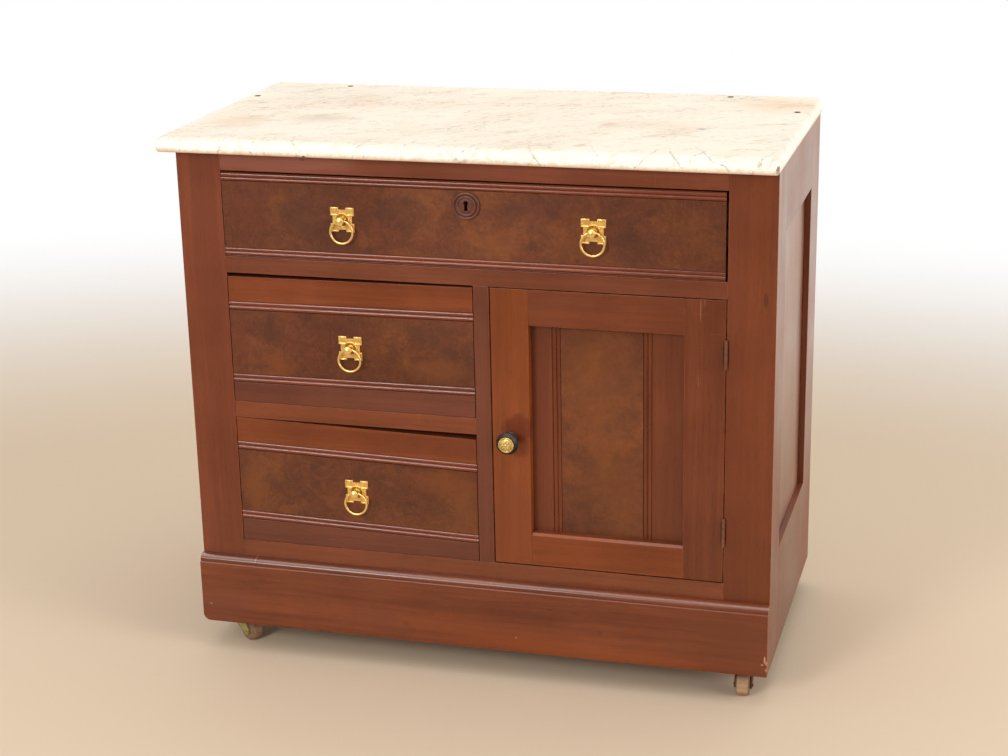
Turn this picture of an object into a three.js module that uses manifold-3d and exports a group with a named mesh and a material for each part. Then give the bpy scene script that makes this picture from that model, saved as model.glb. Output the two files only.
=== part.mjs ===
// Washstand: a walnut case with a marble top, three drawers and a framed cupboard door, on casters.
// Millimetres, +Z up. The front faces -Y. Until the last lines, x = 0 is the middle of the case,
// y = 0 is the face of its front posts and z = 0 is the floor.
import * as THREE from 'three'
import { mergeVertices } from 'three/addons/utils/BufferGeometryUtils.js'
import Module from 'manifold-3d'

// Gaps
const fit = 0.3 // between pieces that fit in one another
const running_gap = 0.5 // under a drawer

// Case
const case_width = 762
const case_depth = 381
const foot_gap = 40 // from the floor to the underside of the case
const frame_thickness = 22
const post_face = 59
const base_height = 116.5 // from the underside of the case to the cupboard floor
const small_opening = 173 // height of each small drawer's opening
const top_opening = 111
const bottom_rail_height = 60
const drawer_rail_height = 22
const middle_rail_height = 21.5
const top_rail_height = 24
const drawer_bay = 327.5 // width of the small drawers' openings
const divider_width = 20
const tenon_length = 16
const short_tenon_length = 9
const tenon_thickness = 8
const tenon_shoulder = 4

// Sides and back
const side_thickness = 22
const side_front_stile = 48
const side_rear_stile = 76
const side_top_rail = 86
const side_bottom_rail = 141
const side_panel_recess = 8
const side_panel_thickness = 6
const groove_depth = 8
const dado_depth = 6
const back_thickness = 10
const back_rabbet = 10
const back_board_count = 3
const back_joint_width = 3

// Inside
const bottom_board_thickness = 14
const partition_thickness = 12
const dust_panel_thickness = 8
const dust_rail_width = 40
const runner_thickness = 18
const runner_reach = 17 // how far a runner comes past the edge of its opening
const guide_width = 14
const guide_height = 20
const block_length = 44
const block_height = 56
const door_stop_width = 40
const door_stop_size = 12

// Plinth
const plinth_height = 85
const plinth_thickness = 14.5
const plinth_corner_radius = 10
const plinth_arris = 2
const moulding_height = 9.3
const moulding_step = 2.5 // flat back part of its top
const moulding_lip = 2 // upright lower part of its face

// Marble
const slab_thickness = 20
const slab_left_overhang = 18 // the loose slab lies to the left of the middle
const slab_right_overhang = 2
const slab_front_overhang = 20
const slab_rear_overhang = 1
const slab_round = 6
const slab_arris = 1.5
const slab_hole_radius = 4.5
const rear_hole_spacing = 540
const rear_hole_inset = 14
const end_hole_margin = 19 // from the slab's end
const end_hole_inset = 109

// Drawers
const front_thickness = 21
const front_side_gap = 0.9
const top_front_left_gap = 0.6
const top_front_right_gap = 2.8
const drawer_side_thickness = 11
const drawer_side_drop = 8 // how much lower than the front the sides are
const drawer_back_thickness = 10
const drawer_back_drop = 6
const drawer_bottom_thickness = 6
const drawer_bottom_height = 10
const drawer_groove = 5
const front_lap = 6 // wood left in front of the tails
const tail_slope = 1 / 6
const tail_share = 0.6 // share of its pitch that a tail takes at its root
const planed_stock = 8
const reeds_in_band = 2
// Lean: degrees that a front has settled, falling to the right. Reeds: pitch and depth.
const top_front_gap = 2.1 // over the front's middle
const small_front_gap = 3.8
const top_front = {
  height: top_opening - running_gap - top_front_gap,
  tails: 3,
  lean: 0,
  strip_below: 1.2,
  strip_above: 0.6,
  reed: [5.2, 1.8],
}
const small_front = {
  height: small_opening - running_gap - small_front_gap,
  tails: 4,
  strip_below: 27,
  strip_above: 32.6,
  reed: [5.9, 2],
}
const upper_front = { ...small_front, lean: -0.45 }
const lower_front = { ...small_front, lean: 1.2 }
const reed_steps = 6

// Door
const door_thickness = 21
const door_left_gap = 1.5
const door_right_gap = 1
const door_top_gap = 1.2
const door_bottom_gap = 1.6
const door_left_stile = 48.5
const door_right_stile = 50.5
const door_top_rail = 46
const door_bottom_rail = 43.5
const door_rail_chamfer = 3
const door_tenon_setback = 3
const door_panel_recess = 13
const door_rabbet = 8
const left_reeds_inset = 32 // from the opening's left edge to the middle of the reeds
const right_reeds_inset = 47.5
const door_reed = [5.6, 1.6] // pitch and depth
const knob_inset = 24 // from the door's left edge
const knob_height = 169.7 // above the door's lower edge

// Hinges
const hinge_height = 37
const hinge_inset = 49 // from the door's end to the hinge's end
const hinge_barrel_radius = 2.1
const hinge_pin_radius = 1
const hinge_leaf_thickness = 1.3
const hinge_leaf_width = 18
const hinge_knuckles = 3
const hinge_leaf_play = 0.1 // between each leaf and the plane of the axis

// Knob and latch
const knob_neck_radius = 6.5
const knob_rose_radius = 10.5
const knob_rim_radius = 14.6
const knob_cap_radius = 10.2
const knob_rim_reach = 19.5 // from the door's face to the widest part
const knob_body_reach = 25
const knob_cap_thickness = 4.5
const spindle_radius = 3
const spindle_end_radius = 2.4
const latch_width = 13
const latch_taper = 0.7 // share of its width left at its foot
const latch_gap = 1.2 // between the door's back and the tongue
const latch_thickness = 3
const latch_overlap = 6.2 // how far the tongue reaches behind the divider

// Ring pulls
const pull_size = 31
const pull_ear = 10.6
const pull_notch = 2.8
const pull_plate_thickness = 1.6
const pull_ear_rise = 0.7
const pull_ear_border = 1.8
const pull_ring_relief_radius = 8.6
const pull_dome_radius = 4.7
const pull_dome_height = 3
const pull_post_radius = 3.3
const pull_eye_reach = 6.8 // from the drawer's face to the ring's wire
const pull_ball_reach = 12
const pull_ball_radius = 4.9
const pull_shank_radius = 2
const pull_nut_size = 8
const pull_nut_thickness = 3
const ring_radius = 14.6
const ring_wire_radius = 1.35
const ring_play = 0.65
const top_pull_spacing = 320

// Escutcheon and lock
const escutcheon_radius = 17.6
const escutcheon_thickness = 5
const keyhole_drop = 29.5 // from the drawer's top edge
const keyhole_radius = 2.9
const keyhole_length = 12.5
const keyhole_foot = 4.6
const lock_width = 54
const lock_height = 42
const lock_case_depth = 9
const lock_plate_margin = 6
const lock_plate_thickness = 1.5
const bolt_width = 18
const bolt_thickness = 4
const bolt_length = 30
const bolt_travel = 8

// Casters
const caster_inset = 34
const caster_trail = 21
const wheel_radius = 14
const wheel_width = 17
const wheel_round = 3
const axle_radius = 2
const fork_thickness = 2.6
const fork_boss_radius = 5
const fork_bridge = 3
const stem_radius = 4
const stem_length = 38
const collar_radius = 9.5
const fork_eye_radius = 7
// How each caster happens to stand turned: degrees from +X
const caster_headings = { front_left: -28, front_right: -88, rear_left: 118, rear_right: 65 }

const wasm = await Module()
wasm.setup()

const half = case_width / 2
const side_in = half - side_thickness
const bay_edge = half - post_face
const back_y = case_depth - back_thickness
const floor_z = foot_gap + base_height
const drawer_rail_z = floor_z + small_opening
const upper_floor_z = drawer_rail_z + drawer_rail_height
const middle_rail_z = upper_floor_z + small_opening
const top_floor_z = middle_rail_z + middle_rail_height
const top_rail_z = top_floor_z + top_opening
const case_top = top_rail_z + top_rail_height
const slab_x = [-half - slab_left_overhang, half + slab_right_overhang]
const slab_y = [-slab_front_overhang, case_depth + slab_rear_overhang]
const divider_x = drawer_bay - bay_edge
const door_bay_x = divider_x + divider_width

// A closed geometry as a solid that can be joined and cut
function solid(geometry) {
  const bare = geometry.clone()
  bare.deleteAttribute('normal')
  bare.deleteAttribute('uv')
  const merged = mergeVertices(bare, 1e-4)
  const corners = merged.index.array
  const faces = []
  for (let i = 0; i < corners.length; i += 3) {
    const [a, b, c] = corners.slice(i, i + 3)
    if (a !== b && b !== c && c !== a) faces.push(a, b, c)
  }
  const triVerts = new Uint32Array(faces)
  const vertProperties = new Float32Array(merged.attributes.position.array)
  return new wasm.Manifold(new wasm.Mesh({ numProp: 3, vertProperties, triVerts }))
}

// A solid as a geometry again
function shell(body) {
  const { vertProperties, triVerts } = body.getMesh()
  const geometry = new THREE.BufferGeometry()
  geometry.setAttribute('position', new THREE.BufferAttribute(vertProperties, 3))
  geometry.setIndex(new THREE.BufferAttribute(triVerts, 1))
  const faceted = geometry.toNonIndexed()
  faceted.computeVertexNormals()
  return faceted
}

const join = (...parts) => shell(parts.map(solid).reduce((all, part) => all.add(part)))
const cut = (base, ...tools) =>
  shell(tools.map(solid).reduce((rest, tool) => rest.subtract(tool), solid(base)))
const keep = (base, tool) => shell(solid(base).intersect(solid(tool)))

// A block between two values on each axis, so blocks that share a face share its exact value
function block(x, y, z) {
  const box = new THREE.BoxGeometry(1, 1, 1)
  const place = box.attributes.position
  const end = (sign, [a, b]) => (sign < 0 ? Math.min(a, b) : Math.max(a, b))
  for (let i = 0; i < place.count; i++) {
    place.setXYZ(i, end(place.getX(i), x), end(place.getY(i), y), end(place.getZ(i), z))
  }
  return box
}

// An outline drawn across one axis and drawn out between two values along it
function bar(outline, axis, [a, b], curveSegments = 8) {
  const body = new THREE.ExtrudeGeometry(outline, { depth: 1, bevelEnabled: false, curveSegments })
  const place = body.attributes.position
  const [low, high] = [Math.min(a, b), Math.max(a, b)]
  for (let i = 0; i < place.count; i++) {
    const [u, v, far] = [place.getX(i), place.getY(i), place.getZ(i) > 0.5]
    if (axis === 'x') place.setXYZ(i, far ? high : low, u, v)
    if (axis === 'y') place.setXYZ(i, u, far ? low : high, v)
    if (axis === 'z') place.setXYZ(i, u, v, far ? high : low)
  }
  body.computeVertexNormals()
  return body
}

function outline(...points) {
  return new THREE.Shape(points.map(([u, v]) => new THREE.Vector2(u, v)))
}

// A turned body: radii and heights along its own axis, which then points along the axis named
function turned(points, axis, segments = 24) {
  const profile = points.map(([radius, height]) => new THREE.Vector2(radius, height))
  const body = new THREE.LatheGeometry(profile, segments)
  if (axis === 'x') body.rotateZ(-Math.PI / 2)
  if (axis === '-y') body.rotateX(Math.PI)
  if (axis === 'z') body.rotateX(Math.PI / 2)
  return body
}

function rod(radius, axis, [a, b], segments = 16) {
  return turned([[0, a], [radius, a], [radius, b], [0, b]], axis, segments)
}

// Points on a quarter or other arc of a turned profile
function arc(centre, radius, from, to, steps = 5) {
  const points = []
  for (let i = 0; i <= steps; i++) {
    const angle = THREE.MathUtils.degToRad(from + ((to - from) * i) / steps)
    points.push([centre[0] + radius * Math.cos(angle), centre[1] + radius * Math.sin(angle)])
  }
  return points
}

function piece(name, geometry, look) {
  const mesh = new THREE.Mesh(geometry, look)
  mesh.name = name
  return mesh
}

const finish = (color, roughness, metalness = 0) =>
  new THREE.MeshStandardMaterial({ color, roughness, metalness, flatShading: true })
const walnut = () => finish(0x78442f, 0.38)
const warm_walnut = () => finish(0x87482a, 0.38)
const burl = () => finish(0x6c402c, 0.35)
const poplar = () => finish(0xb59468, 0.7)
const turned_wood = () => finish(0x5e3a2c, 0.4)
const marble = () => finish(0xf2ebe2, 0.25)
const bright_brass = () => finish(0xe1b25f, 0.28, 1)
const dull_brass = () => finish(0x8f8250, 0.5, 1)
const cap_brass = () => finish(0xc8a55f, 0.4, 1)
const hinge_brass = () => finish(0x7a5a42, 0.55, 1)
const ebonised = () => finish(0x3c3531, 0.45)
const iron = () => finish(0x4a4744, 0.6, 0.8)
const wheel_wood = () => finish(0xb08d68, 0.7)

// Tenons on the ends of a rail that lies along x, grown a little where they cut their mortises
function railTenons(x, z, lengths, grow = 0) {
  const y = [(frame_thickness - tenon_thickness) / 2 - grow, (frame_thickness + tenon_thickness) / 2 + grow]
  const height = [z[0] + tenon_shoulder - grow, z[1] - tenon_shoulder + grow]
  return [
    block([x[0] - lengths[0] - grow, x[0]], y, height),
    block([x[1], x[1] + lengths[1] + grow], y, height),
  ]
}

const full_rail_x = [-bay_edge, bay_edge]
const long_tenons = [tenon_length, tenon_length]
const bottom_rail_span = [floor_z - bottom_rail_height, floor_z]
const middle_rail_span = [middle_rail_z, top_floor_z]
const top_rail_span = [top_rail_z, case_top]
const drawer_rail_span = [drawer_rail_z, upper_floor_z]
const drawer_rail_x = [-bay_edge, divider_x]
const drawer_rail_tenons = [tenon_length, short_tenon_length]

function rail(x, z, tenons) {
  return join(block(x, [0, frame_thickness], z), ...railTenons(x, z, tenons))
}

// Upright tenons of the divider stile, in the bottom and middle rails
function dividerTenons(grow = 0) {
  const x = [divider_x + tenon_shoulder - grow, door_bay_x - tenon_shoulder + grow]
  const y = [(frame_thickness - tenon_thickness) / 2 - grow, (frame_thickness + tenon_thickness) / 2 + grow]
  return [
    block(x, y, [floor_z - short_tenon_length - grow, floor_z]),
    block(x, y, [middle_rail_z, middle_rail_z + short_tenon_length + grow]),
  ]
}

// A full-width rail with a mortise for the stile's lower (0) or upper (1) tenon
const dividedRail = (span, end) => cut(rail(full_rail_x, span, long_tenons), dividerTenons(fit)[end])

function dividerStile() {
  const body = block([divider_x, door_bay_x], [0, frame_thickness], [floor_z, middle_rail_z])
  const mortise = railTenons(drawer_rail_x, drawer_rail_span, drawer_rail_tenons, fit)[1]
  return cut(join(body, ...dividerTenons()), mortise)
}

function topRail() {
  const bolt_mortise = block(
    [-bolt_width / 2 - 1, bolt_width / 2 + 1],
    [bolt_y[0] - 1, bolt_y[1] + 1],
    [top_rail_z - 1, top_rail_z + bolt_travel],
  )
  return cut(rail(full_rail_x, top_rail_span, long_tenons), bolt_mortise)
}

// A front post with the mortises of the rails that meet it
function frontPost(side) {
  const body = block([side * bay_edge, side * half], [0, frame_thickness], [foot_gap, case_top])
  const end = side < 0 ? 0 : 1
  const mortises = [bottom_rail_span, middle_rail_span, top_rail_span].map(
    (span) => railTenons(full_rail_x, span, long_tenons, fit)[end],
  )
  if (side < 0) mortises.push(railTenons(drawer_rail_x, drawer_rail_span, drawer_rail_tenons, fit)[0])
  if (side > 0) mortises.push(...hinge_heights.map(frameLeafSeat))
  return cut(body, ...mortises)
}

// Opening of a side frame, with the groove round it for the panel
const side_opening_y = [frame_thickness + side_front_stile, case_depth - side_rear_stile]
const side_opening_z = [foot_gap + side_bottom_rail, case_top - side_top_rail]
const side_panel_x = [half - side_panel_recess - side_panel_thickness, half - side_panel_recess]
const widen = ([a, b], by) => [a - by, b + by]

function sideFrame(side) {
  const mirror = ([a, b]) => [side * a, side * b]
  const y = [frame_thickness, case_depth]
  const inside_y = [frame_thickness, back_y]
  const board = block(mirror([side_in, half]), y, [foot_gap, case_top])
  const opening = block(mirror([side_in - 1, half + 1]), side_opening_y, side_opening_z)
  const groove = block(
    mirror(widen(side_panel_x, fit)),
    widen(side_opening_y, groove_depth),
    widen(side_opening_z, groove_depth),
  )
  const bottom_dado = block(
    mirror([side_in - 1, side_in + dado_depth]),
    inside_y,
    widen([floor_z - bottom_board_thickness, floor_z], fit),
  )
  const dust_dado = block(mirror([side_in - 1, side_in + dado_depth]), inside_y, widen(middle_rail_span, fit))
  const rabbet_x = mirror([side_in - 1, side_in + back_rabbet])
  const rabbet = block(rabbet_x, [back_y, case_depth + 1], [0, case_top + 1])
  const frame = cut(board, opening, groove, bottom_dado, dust_dado, rabbet)

  const kicker = block(mirror([bay_edge - runner_reach, side_in]), inside_y, top_rail_span)
  const blocks = [frame_thickness, back_y - block_length].map((start) =>
    block(mirror([bay_edge, side_in]), [start, start + block_length], [foot_gap, foot_gap + block_height]),
  )
  const stem_holes = [caster_inset, case_depth - caster_inset].map((stem_y) =>
    rod(stem_radius + fit, 'z', [foot_gap - 1, foot_gap + stem_length + 1]).translate(
      side * (half - caster_inset), stem_y, 0,
    ),
  )
  return cut(join(frame, kicker, ...blocks), ...stem_holes)
}

function sidePanel(side) {
  const reach = groove_depth - fit
  return block(
    side_panel_x.map((x) => side * x),
    widen(side_opening_y, reach),
    widen(side_opening_z, reach),
  )
}

// Boards across the back, each joint showing as a shallow groove
function backBoards() {
  const [low, high] = [foot_gap, case_top]
  const points = [[back_y, low], [case_depth, low]]
  for (let i = 1; i < back_board_count; i++) {
    const joint = low + ((high - low) * i) / back_board_count
    points.push([case_depth, joint - back_joint_width / 2])
    points.push([case_depth - back_joint_width / 2, joint])
    points.push([case_depth, joint + back_joint_width / 2])
  }
  points.push([case_depth, high], [back_y, high])
  const reach = side_in + back_rabbet - fit
  return bar(outline(...points), 'x', [-reach, reach])
}

// A strip beside a drawer that keeps it running straight
function guide(side, z) {
  const x = [side * bay_edge, side * (bay_edge + guide_width)]
  return block(x, [frame_thickness, back_y], [z, z + guide_height])
}

function bottomBoard() {
  const reach = side_in + dado_depth - fit
  const board = block([-reach, reach], [frame_thickness, back_y], [floor_z - bottom_board_thickness, floor_z])
  return join(board, guide(-1, floor_z))
}

// Frame under the top drawer: runners, a rail at the back and one over the partition, a thin panel
function dustFrame() {
  const y = [frame_thickness, back_y]
  const reach = side_in + dado_depth - fit
  const runner_edge = bay_edge - runner_reach
  const partition_far = divider_x + partition_thickness
  const door_middle = (door_bay_x + bay_edge) / 2
  const stop_x = [door_middle - door_stop_width / 2, door_middle + door_stop_width / 2]
  const stop_y = [door_thickness + fit, door_thickness + fit + door_stop_size]
  return join(
    block([-reach, -runner_edge], y, middle_rail_span),
    block([runner_edge, reach], y, middle_rail_span),
    block([divider_x - runner_reach, partition_far + runner_reach], y, middle_rail_span),
    block([-runner_edge, runner_edge], [back_y - dust_rail_width, back_y], middle_rail_span),
    block([-runner_edge, runner_edge], y, [top_floor_z - dust_panel_thickness, top_floor_z]),
    guide(-1, top_floor_z),
    guide(1, top_floor_z),
    block(stop_x, [frame_thickness, stop_y[1]], [middle_rail_z - door_stop_size, top_floor_z - 1]),
  )
}

function partition() {
  const x = [divider_x, divider_x + partition_thickness]
  return block(x, [frame_thickness, back_y], [floor_z, middle_rail_z])
}

function leftRunner() {
  const z = [upper_floor_z - runner_thickness, upper_floor_z]
  const base = block([-side_in, -bay_edge + runner_reach], [frame_thickness, back_y], z)
  return join(base, guide(-1, upper_floor_z))
}

function rightRunner() {
  const z = [upper_floor_z - runner_thickness, upper_floor_z]
  return block([divider_x - runner_reach, divider_x], [frame_thickness, back_y], z)
}

// The board's lower left corner is rounded, and so is the upper edge of its face
function plinthBoard() {
  const top = foot_gap + plinth_height
  const face = new THREE.Shape()
  face.moveTo(-half, top)
  face.lineTo(-half, foot_gap + plinth_corner_radius)
  face.absarc(-half + plinth_corner_radius, foot_gap + plinth_corner_radius, plinth_corner_radius,
    Math.PI, 1.5 * Math.PI)
  face.lineTo(half, foot_gap)
  face.lineTo(half, top)
  const section = new THREE.Shape()
  section.moveTo(0, foot_gap)
  section.lineTo(0, top)
  section.lineTo(-plinth_thickness + plinth_arris, top)
  section.absarc(-plinth_thickness + plinth_arris, top - plinth_arris, plinth_arris, Math.PI / 2, Math.PI)
  section.lineTo(-plinth_thickness, foot_gap)
  return keep(bar(face, 'y', [-plinth_thickness, 0]), bar(section, 'x', [-half, half]))
}

// Its face stands on the plinth board where that board's rounded edge begins
function plinthMoulding() {
  const base = foot_gap + plinth_height
  const depth = plinth_thickness - plinth_arris
  const [reach, rise] = [depth - moulding_step, moulding_height - moulding_lip]
  const section = new THREE.Shape()
  section.moveTo(0, base)
  section.lineTo(0, base + moulding_height)
  section.lineTo(-moulding_step, base + moulding_height)
  section.absellipse(-moulding_step, base + moulding_lip, reach, rise, Math.PI / 2, Math.PI)
  section.lineTo(-depth, base)
  return bar(section, 'x', [-half, half], 12)
}

// Marble slab: its front and ends are rounded on top and eased below, its back edge is sawn square
function marbleTop() {
  const [x, y] = [slab_x, slab_y]
  const z = [case_top, case_top + slab_thickness]
  const spare = 2 * slab_round
  const eased = (size, low, high) => {
    const [left, right, front, back] = [x[0] + size, x[1] - size, y[0] + size, y[1] + spare]
    const face = outline([left, front], [right, front], [right, back], [left, back])
    const bevel = { bevelSize: size, bevelThickness: size, bevelSegments: 4 }
    const depth = high - low - 2 * size
    return new THREE.ExtrudeGeometry(face, { depth, ...bevel }).translate(0, 0, low + size)
  }
  const rounded_above = eased(slab_round, z[0] - spare, z[1])
  const eased_below = eased(slab_arris, z[0], z[1] + spare)
  const sawn = block([x[0] - 1, x[1] + 1], [y[0] - 1, y[1]], z)
  const middle = (x[0] + x[1]) / 2
  const hole_places = [
    [rear_hole_spacing / 2, rear_hole_inset],
    [(x[1] - x[0]) / 2 - end_hole_margin, end_hole_inset],
  ].flatMap(([dx, inset]) => [-1, 1].map((side) => [middle + side * dx, y[1] - inset]))
  const holes = hole_places.map(([hole_x, hole_y]) =>
    rod(slab_hole_radius, 'z', [z[0] - 1, z[1] + 1], 12).translate(hole_x, hole_y, 0),
  )
  return cut(keep(keep(rounded_above, eased_below), sawn), ...holes)
}

// Radius of a reed and the half angle of its arc, from its pitch and depth
function reedArc([pitch, depth]) {
  const radius = (pitch * pitch) / (8 * depth) + depth / 2
  return { radius, angle: Math.asin(pitch / 2 / radius) }
}

// One band of reeds in the section of a drawer front, from z upwards. Their crests are flush.
function reedBand(section, [pitch, depth], z) {
  const { radius, angle } = reedArc([pitch, depth])
  const top = z + reeds_in_band * pitch
  for (let i = 0; i < reeds_in_band; i++) {
    const middle = z + (i + 0.5) * pitch
    section.lineTo(depth, middle - pitch / 2)
    section.absarc(radius, middle, radius, Math.PI + angle, Math.PI - angle, true)
  }
  section.lineTo(depth, top)
  section.lineTo(0, top)
}

// Tails on a drawer side, as corners (y, z) from the top one down
function tailCorners(front, side_height, index, grow = 0) {
  const pitch = side_height / front.tails
  const middle = side_height - (index + 0.5) * pitch
  const root = (pitch * tail_share) / 2 + grow
  const tip = root + (front_thickness - front_lap) * tail_slope
  return [
    [front_thickness, middle + root],
    [front_lap - grow, middle + tip],
    [front_lap - grow, middle - tip],
    [front_thickness, middle - root],
  ]
}

// Both drawer sides with their tails, and the back between them
function drawerBox(front, width, length) {
  const height = front.height - drawer_side_drop
  const corners = [[front_thickness, 0], [length, 0], [length, height], [front_thickness, height]]
  for (let i = 0; i < front.tails; i++) corners.push(...tailCorners(front, height, i))
  const groove_z = widen([drawer_bottom_height, drawer_bottom_height + drawer_bottom_thickness], fit)
  const groove_y = [front_thickness - drawer_groove - fit, length + 1]
  const inner = width / 2 - drawer_side_thickness
  const sides = [-1, 1].map((side) =>
    cut(
      bar(outline(...corners), 'x', [side * inner, (side * width) / 2]),
      block([side * (inner - 1), side * (inner + drawer_groove)], groove_y, groove_z),
    ),
  )
  const back_z = [groove_z[1], height - drawer_back_drop]
  const back = block([-inner, inner], [length - drawer_back_thickness, length], back_z)
  return join(...sides, back)
}

function drawerBottom(width, length) {
  const reach = width / 2 - drawer_side_thickness + drawer_groove - fit
  const y = [front_thickness - drawer_groove, length]
  return block([-reach, reach], y, [drawer_bottom_height, drawer_bottom_height + drawer_bottom_thickness])
}

// Reeded front, leaning as it has worn, planed square at its ends and foot, cut for the tails
function drawerFront(front, width, pull_places) {
  const section = new THREE.Shape()
  const upper_band_z = front.height - front.strip_above - reeds_in_band * front.reed[0]
  section.moveTo(0, -planed_stock)
  section.lineTo(0, front.strip_below)
  reedBand(section, front.reed, front.strip_below)
  section.lineTo(0, upper_band_z)
  reedBand(section, front.reed, upper_band_z)
  section.lineTo(0, front.height)
  section.lineTo(front_thickness, front.height)
  section.lineTo(front_thickness, -planed_stock)
  const spare = width / 2 + planed_stock
  const leaning = bar(section, 'x', [-spare, spare], reed_steps)
    .translate(0, 0, -front.height / 2)
    .rotateY(THREE.MathUtils.degToRad(front.lean))
    .translate(0, 0, front.height / 2)
  const square = block([-width / 2, width / 2], [-1, front_thickness + 1], [0, 2 * front.height])
  const planed = keep(leaning, square)

  const side_height = front.height - drawer_side_drop
  const sockets = []
  for (let i = 0; i < front.tails; i++) {
    const corners = tailCorners(front, side_height, i, fit)
    corners[0][0] += 1
    corners[3][0] += 1
    for (const side of [-1, 1]) {
      const x = [side * (width / 2 - drawer_side_thickness - fit), side * (width / 2 + 1)]
      sockets.push(bar(outline(...corners), 'x', x))
    }
  }
  const groove_reach = width / 2 - drawer_side_thickness + drawer_groove
  const groove = block(
    [-groove_reach, groove_reach],
    [front_thickness - drawer_groove - fit, front_thickness + 1],
    widen([drawer_bottom_height, drawer_bottom_height + drawer_bottom_thickness], fit),
  )
  const shank_holes = pull_places.map(([x, z]) =>
    rod(pull_shank_radius + fit, '-y', [-front_thickness - 1, 1], 12).translate(x, 0, z),
  )
  return cut(planed, ...sockets, groove, ...shank_holes)
}

// Keyhole outline round (0, 0), its round head up
function keyholeOutline(grow = 0) {
  const radius = keyhole_radius + grow
  const foot = keyhole_foot / 2 + grow
  const low = -keyhole_length / 2 - grow
  const head = keyhole_length / 2 - keyhole_radius
  const hole = new THREE.Shape()
  hole.moveTo(-foot, low)
  hole.lineTo(foot, low)
  hole.absarc(0, head, radius, THREE.MathUtils.degToRad(-55), THREE.MathUtils.degToRad(235))
  return hole
}

const lock_y = [front_thickness - lock_case_depth, front_thickness]
const bolt_y = [lock_y[0] + 2, lock_y[0] + 2 + bolt_thickness]

// Half-mortised drawer lock: a case in the front's thickness, its plate on the inner face
function lockCase(top) {
  const plate_x = lock_width / 2 + lock_plate_margin
  const plate_z = [top - lock_height - lock_plate_margin, top - fit]
  const body = join(
    block([-lock_width / 2, lock_width / 2], lock_y, [top - lock_height, top - fit]),
    block([-plate_x, plate_x], [front_thickness, front_thickness + lock_plate_thickness], plate_z),
  )
  const channel_x = [-bolt_width / 2 - fit, bolt_width / 2 + fit]
  return cut(body, block(channel_x, widen(bolt_y, fit), [top - bolt_length - 2 * fit, top + 1]))
}

function lockMortise(top) {
  const x = [-lock_width / 2 - fit, lock_width / 2 + fit]
  return block(x, [lock_y[0] - fit, front_thickness + 1], [top - lock_height - fit, top + 1])
}

function escutcheon() {
  const rim = escutcheon_radius
  const profile = [
    [0, 0], [rim, 0],
    ...arc([rim - 2, 1.6], 2, -50, 120, 4),
    [rim - 4.2, 2.4],
    ...arc([rim - 6.2, 2.9], 1.7, 0, 180, 4),
    [rim - 8.6, 2.3], [0, 2.3],
  ]
  const body = turned(profile, '-y', 26)
  return cut(body, bar(keyholeOutline(), 'y', [-escutcheon_thickness - 1, 1]))
}

// Notched plate with raised ears, a ring of relief, a domed boss, a ball-ended post and its shank
function pullPlate() {
  const reach = pull_size / 2
  const waist = reach - pull_notch
  const inner = reach - pull_ear
  const corners = []
  for (let turn = 0; turn < 4; turn++) {
    const angle = (turn * Math.PI) / 2
    const ear = [[waist, inner], [reach, inner], [reach, reach], [inner, reach], [inner, waist]]
    for (const [u, v] of ear) {
      corners.push([u * Math.cos(angle) - v * Math.sin(angle), u * Math.sin(angle) + v * Math.cos(angle)])
    }
  }
  const plate = bar(outline(...corners), 'y', [-pull_plate_thickness, 0])
  const ears = [[-1, -1], [-1, 1], [1, -1], [1, 1]].map(([sx, sz]) => {
    const near = inner + pull_ear_border
    const far = reach - pull_ear_border
    return block([sx * near, sx * far], [-pull_plate_thickness - pull_ear_rise, -0.5], [sz * near, sz * far])
  })
  const face = pull_plate_thickness
  const eye = pull_eye_reach
  const ball = pull_ball_reach
  const dome_share = pull_dome_height / pull_dome_radius
  const relief = turned([
    [0, 0.5], [pull_ring_relief_radius, 0.5], [pull_ring_relief_radius, face],
    ...arc([pull_ring_relief_radius - 1, face], 1, 45, 180, 3),
    [pull_dome_radius, face],
    ...arc([0, 0], pull_dome_radius, 8, 40, 2).map(([r, h]) => [r, face + h * dome_share]),
    [pull_post_radius, face + pull_dome_height], [pull_post_radius, ball - pull_ball_radius * 0.6],
    ...arc([0, ball], pull_ball_radius, -40, 50, 4),
    [0, ball + pull_ball_radius * 0.8],
  ], '-y', 16)
  const shank = rod(pull_shank_radius, '-y', [-front_thickness - fit - pull_nut_thickness, 0.6], 8)
  const nut_half = pull_nut_size / 2
  const nut = block(
    [-nut_half, nut_half],
    [front_thickness + fit, front_thickness + fit + pull_nut_thickness - 0.8],
    [-nut_half, nut_half],
  )
  const eye_hole = rod(ring_wire_radius + ring_play, 'x', [-pull_ball_radius, pull_ball_radius], 12)
  return cut(join(plate, ...ears, relief, shank, nut), eye_hole.translate(0, -eye, 0))
}

// The loose ring, hanging below the point where it passes through its post
function pullRing() {
  const ring = new THREE.TorusGeometry(ring_radius, ring_wire_radius, 6, 26)
  return ring.rotateX(Math.PI / 2).translate(0, 0, -ring_radius)
}

function ringPull(name) {
  const pull = new THREE.Group()
  const pivot = new THREE.Group()
  pivot.position.set(0, -pull_eye_reach, 0)
  pivot.add(piece(`${name}_ring`, pullRing(), bright_brass()))
  pull.add(piece(`${name}_plate`, pullPlate(), bright_brass()), pivot)
  return pull
}

function smallDrawer(name, front, z) {
  const width = drawer_bay - 2 * front_side_gap
  const length = back_y - fit
  const field_middle = (front.strip_below + front.height - front.strip_above) / 2
  const drawer = new THREE.Group()
  drawer.position.set((divider_x - bay_edge) / 2, 0, z + running_gap)
  const pull = ringPull(`${name}_pull`)
  pull.position.set(0, 0, field_middle)
  drawer.add(
    piece(`${name}_front`, drawerFront(front, width, [[0, field_middle]]), burl()),
    piece(`${name}_box`, drawerBox(front, width, length), poplar()),
    piece(`${name}_bottom`, drawerBottom(width, length), poplar()),
    pull,
  )
  return drawer
}

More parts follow.
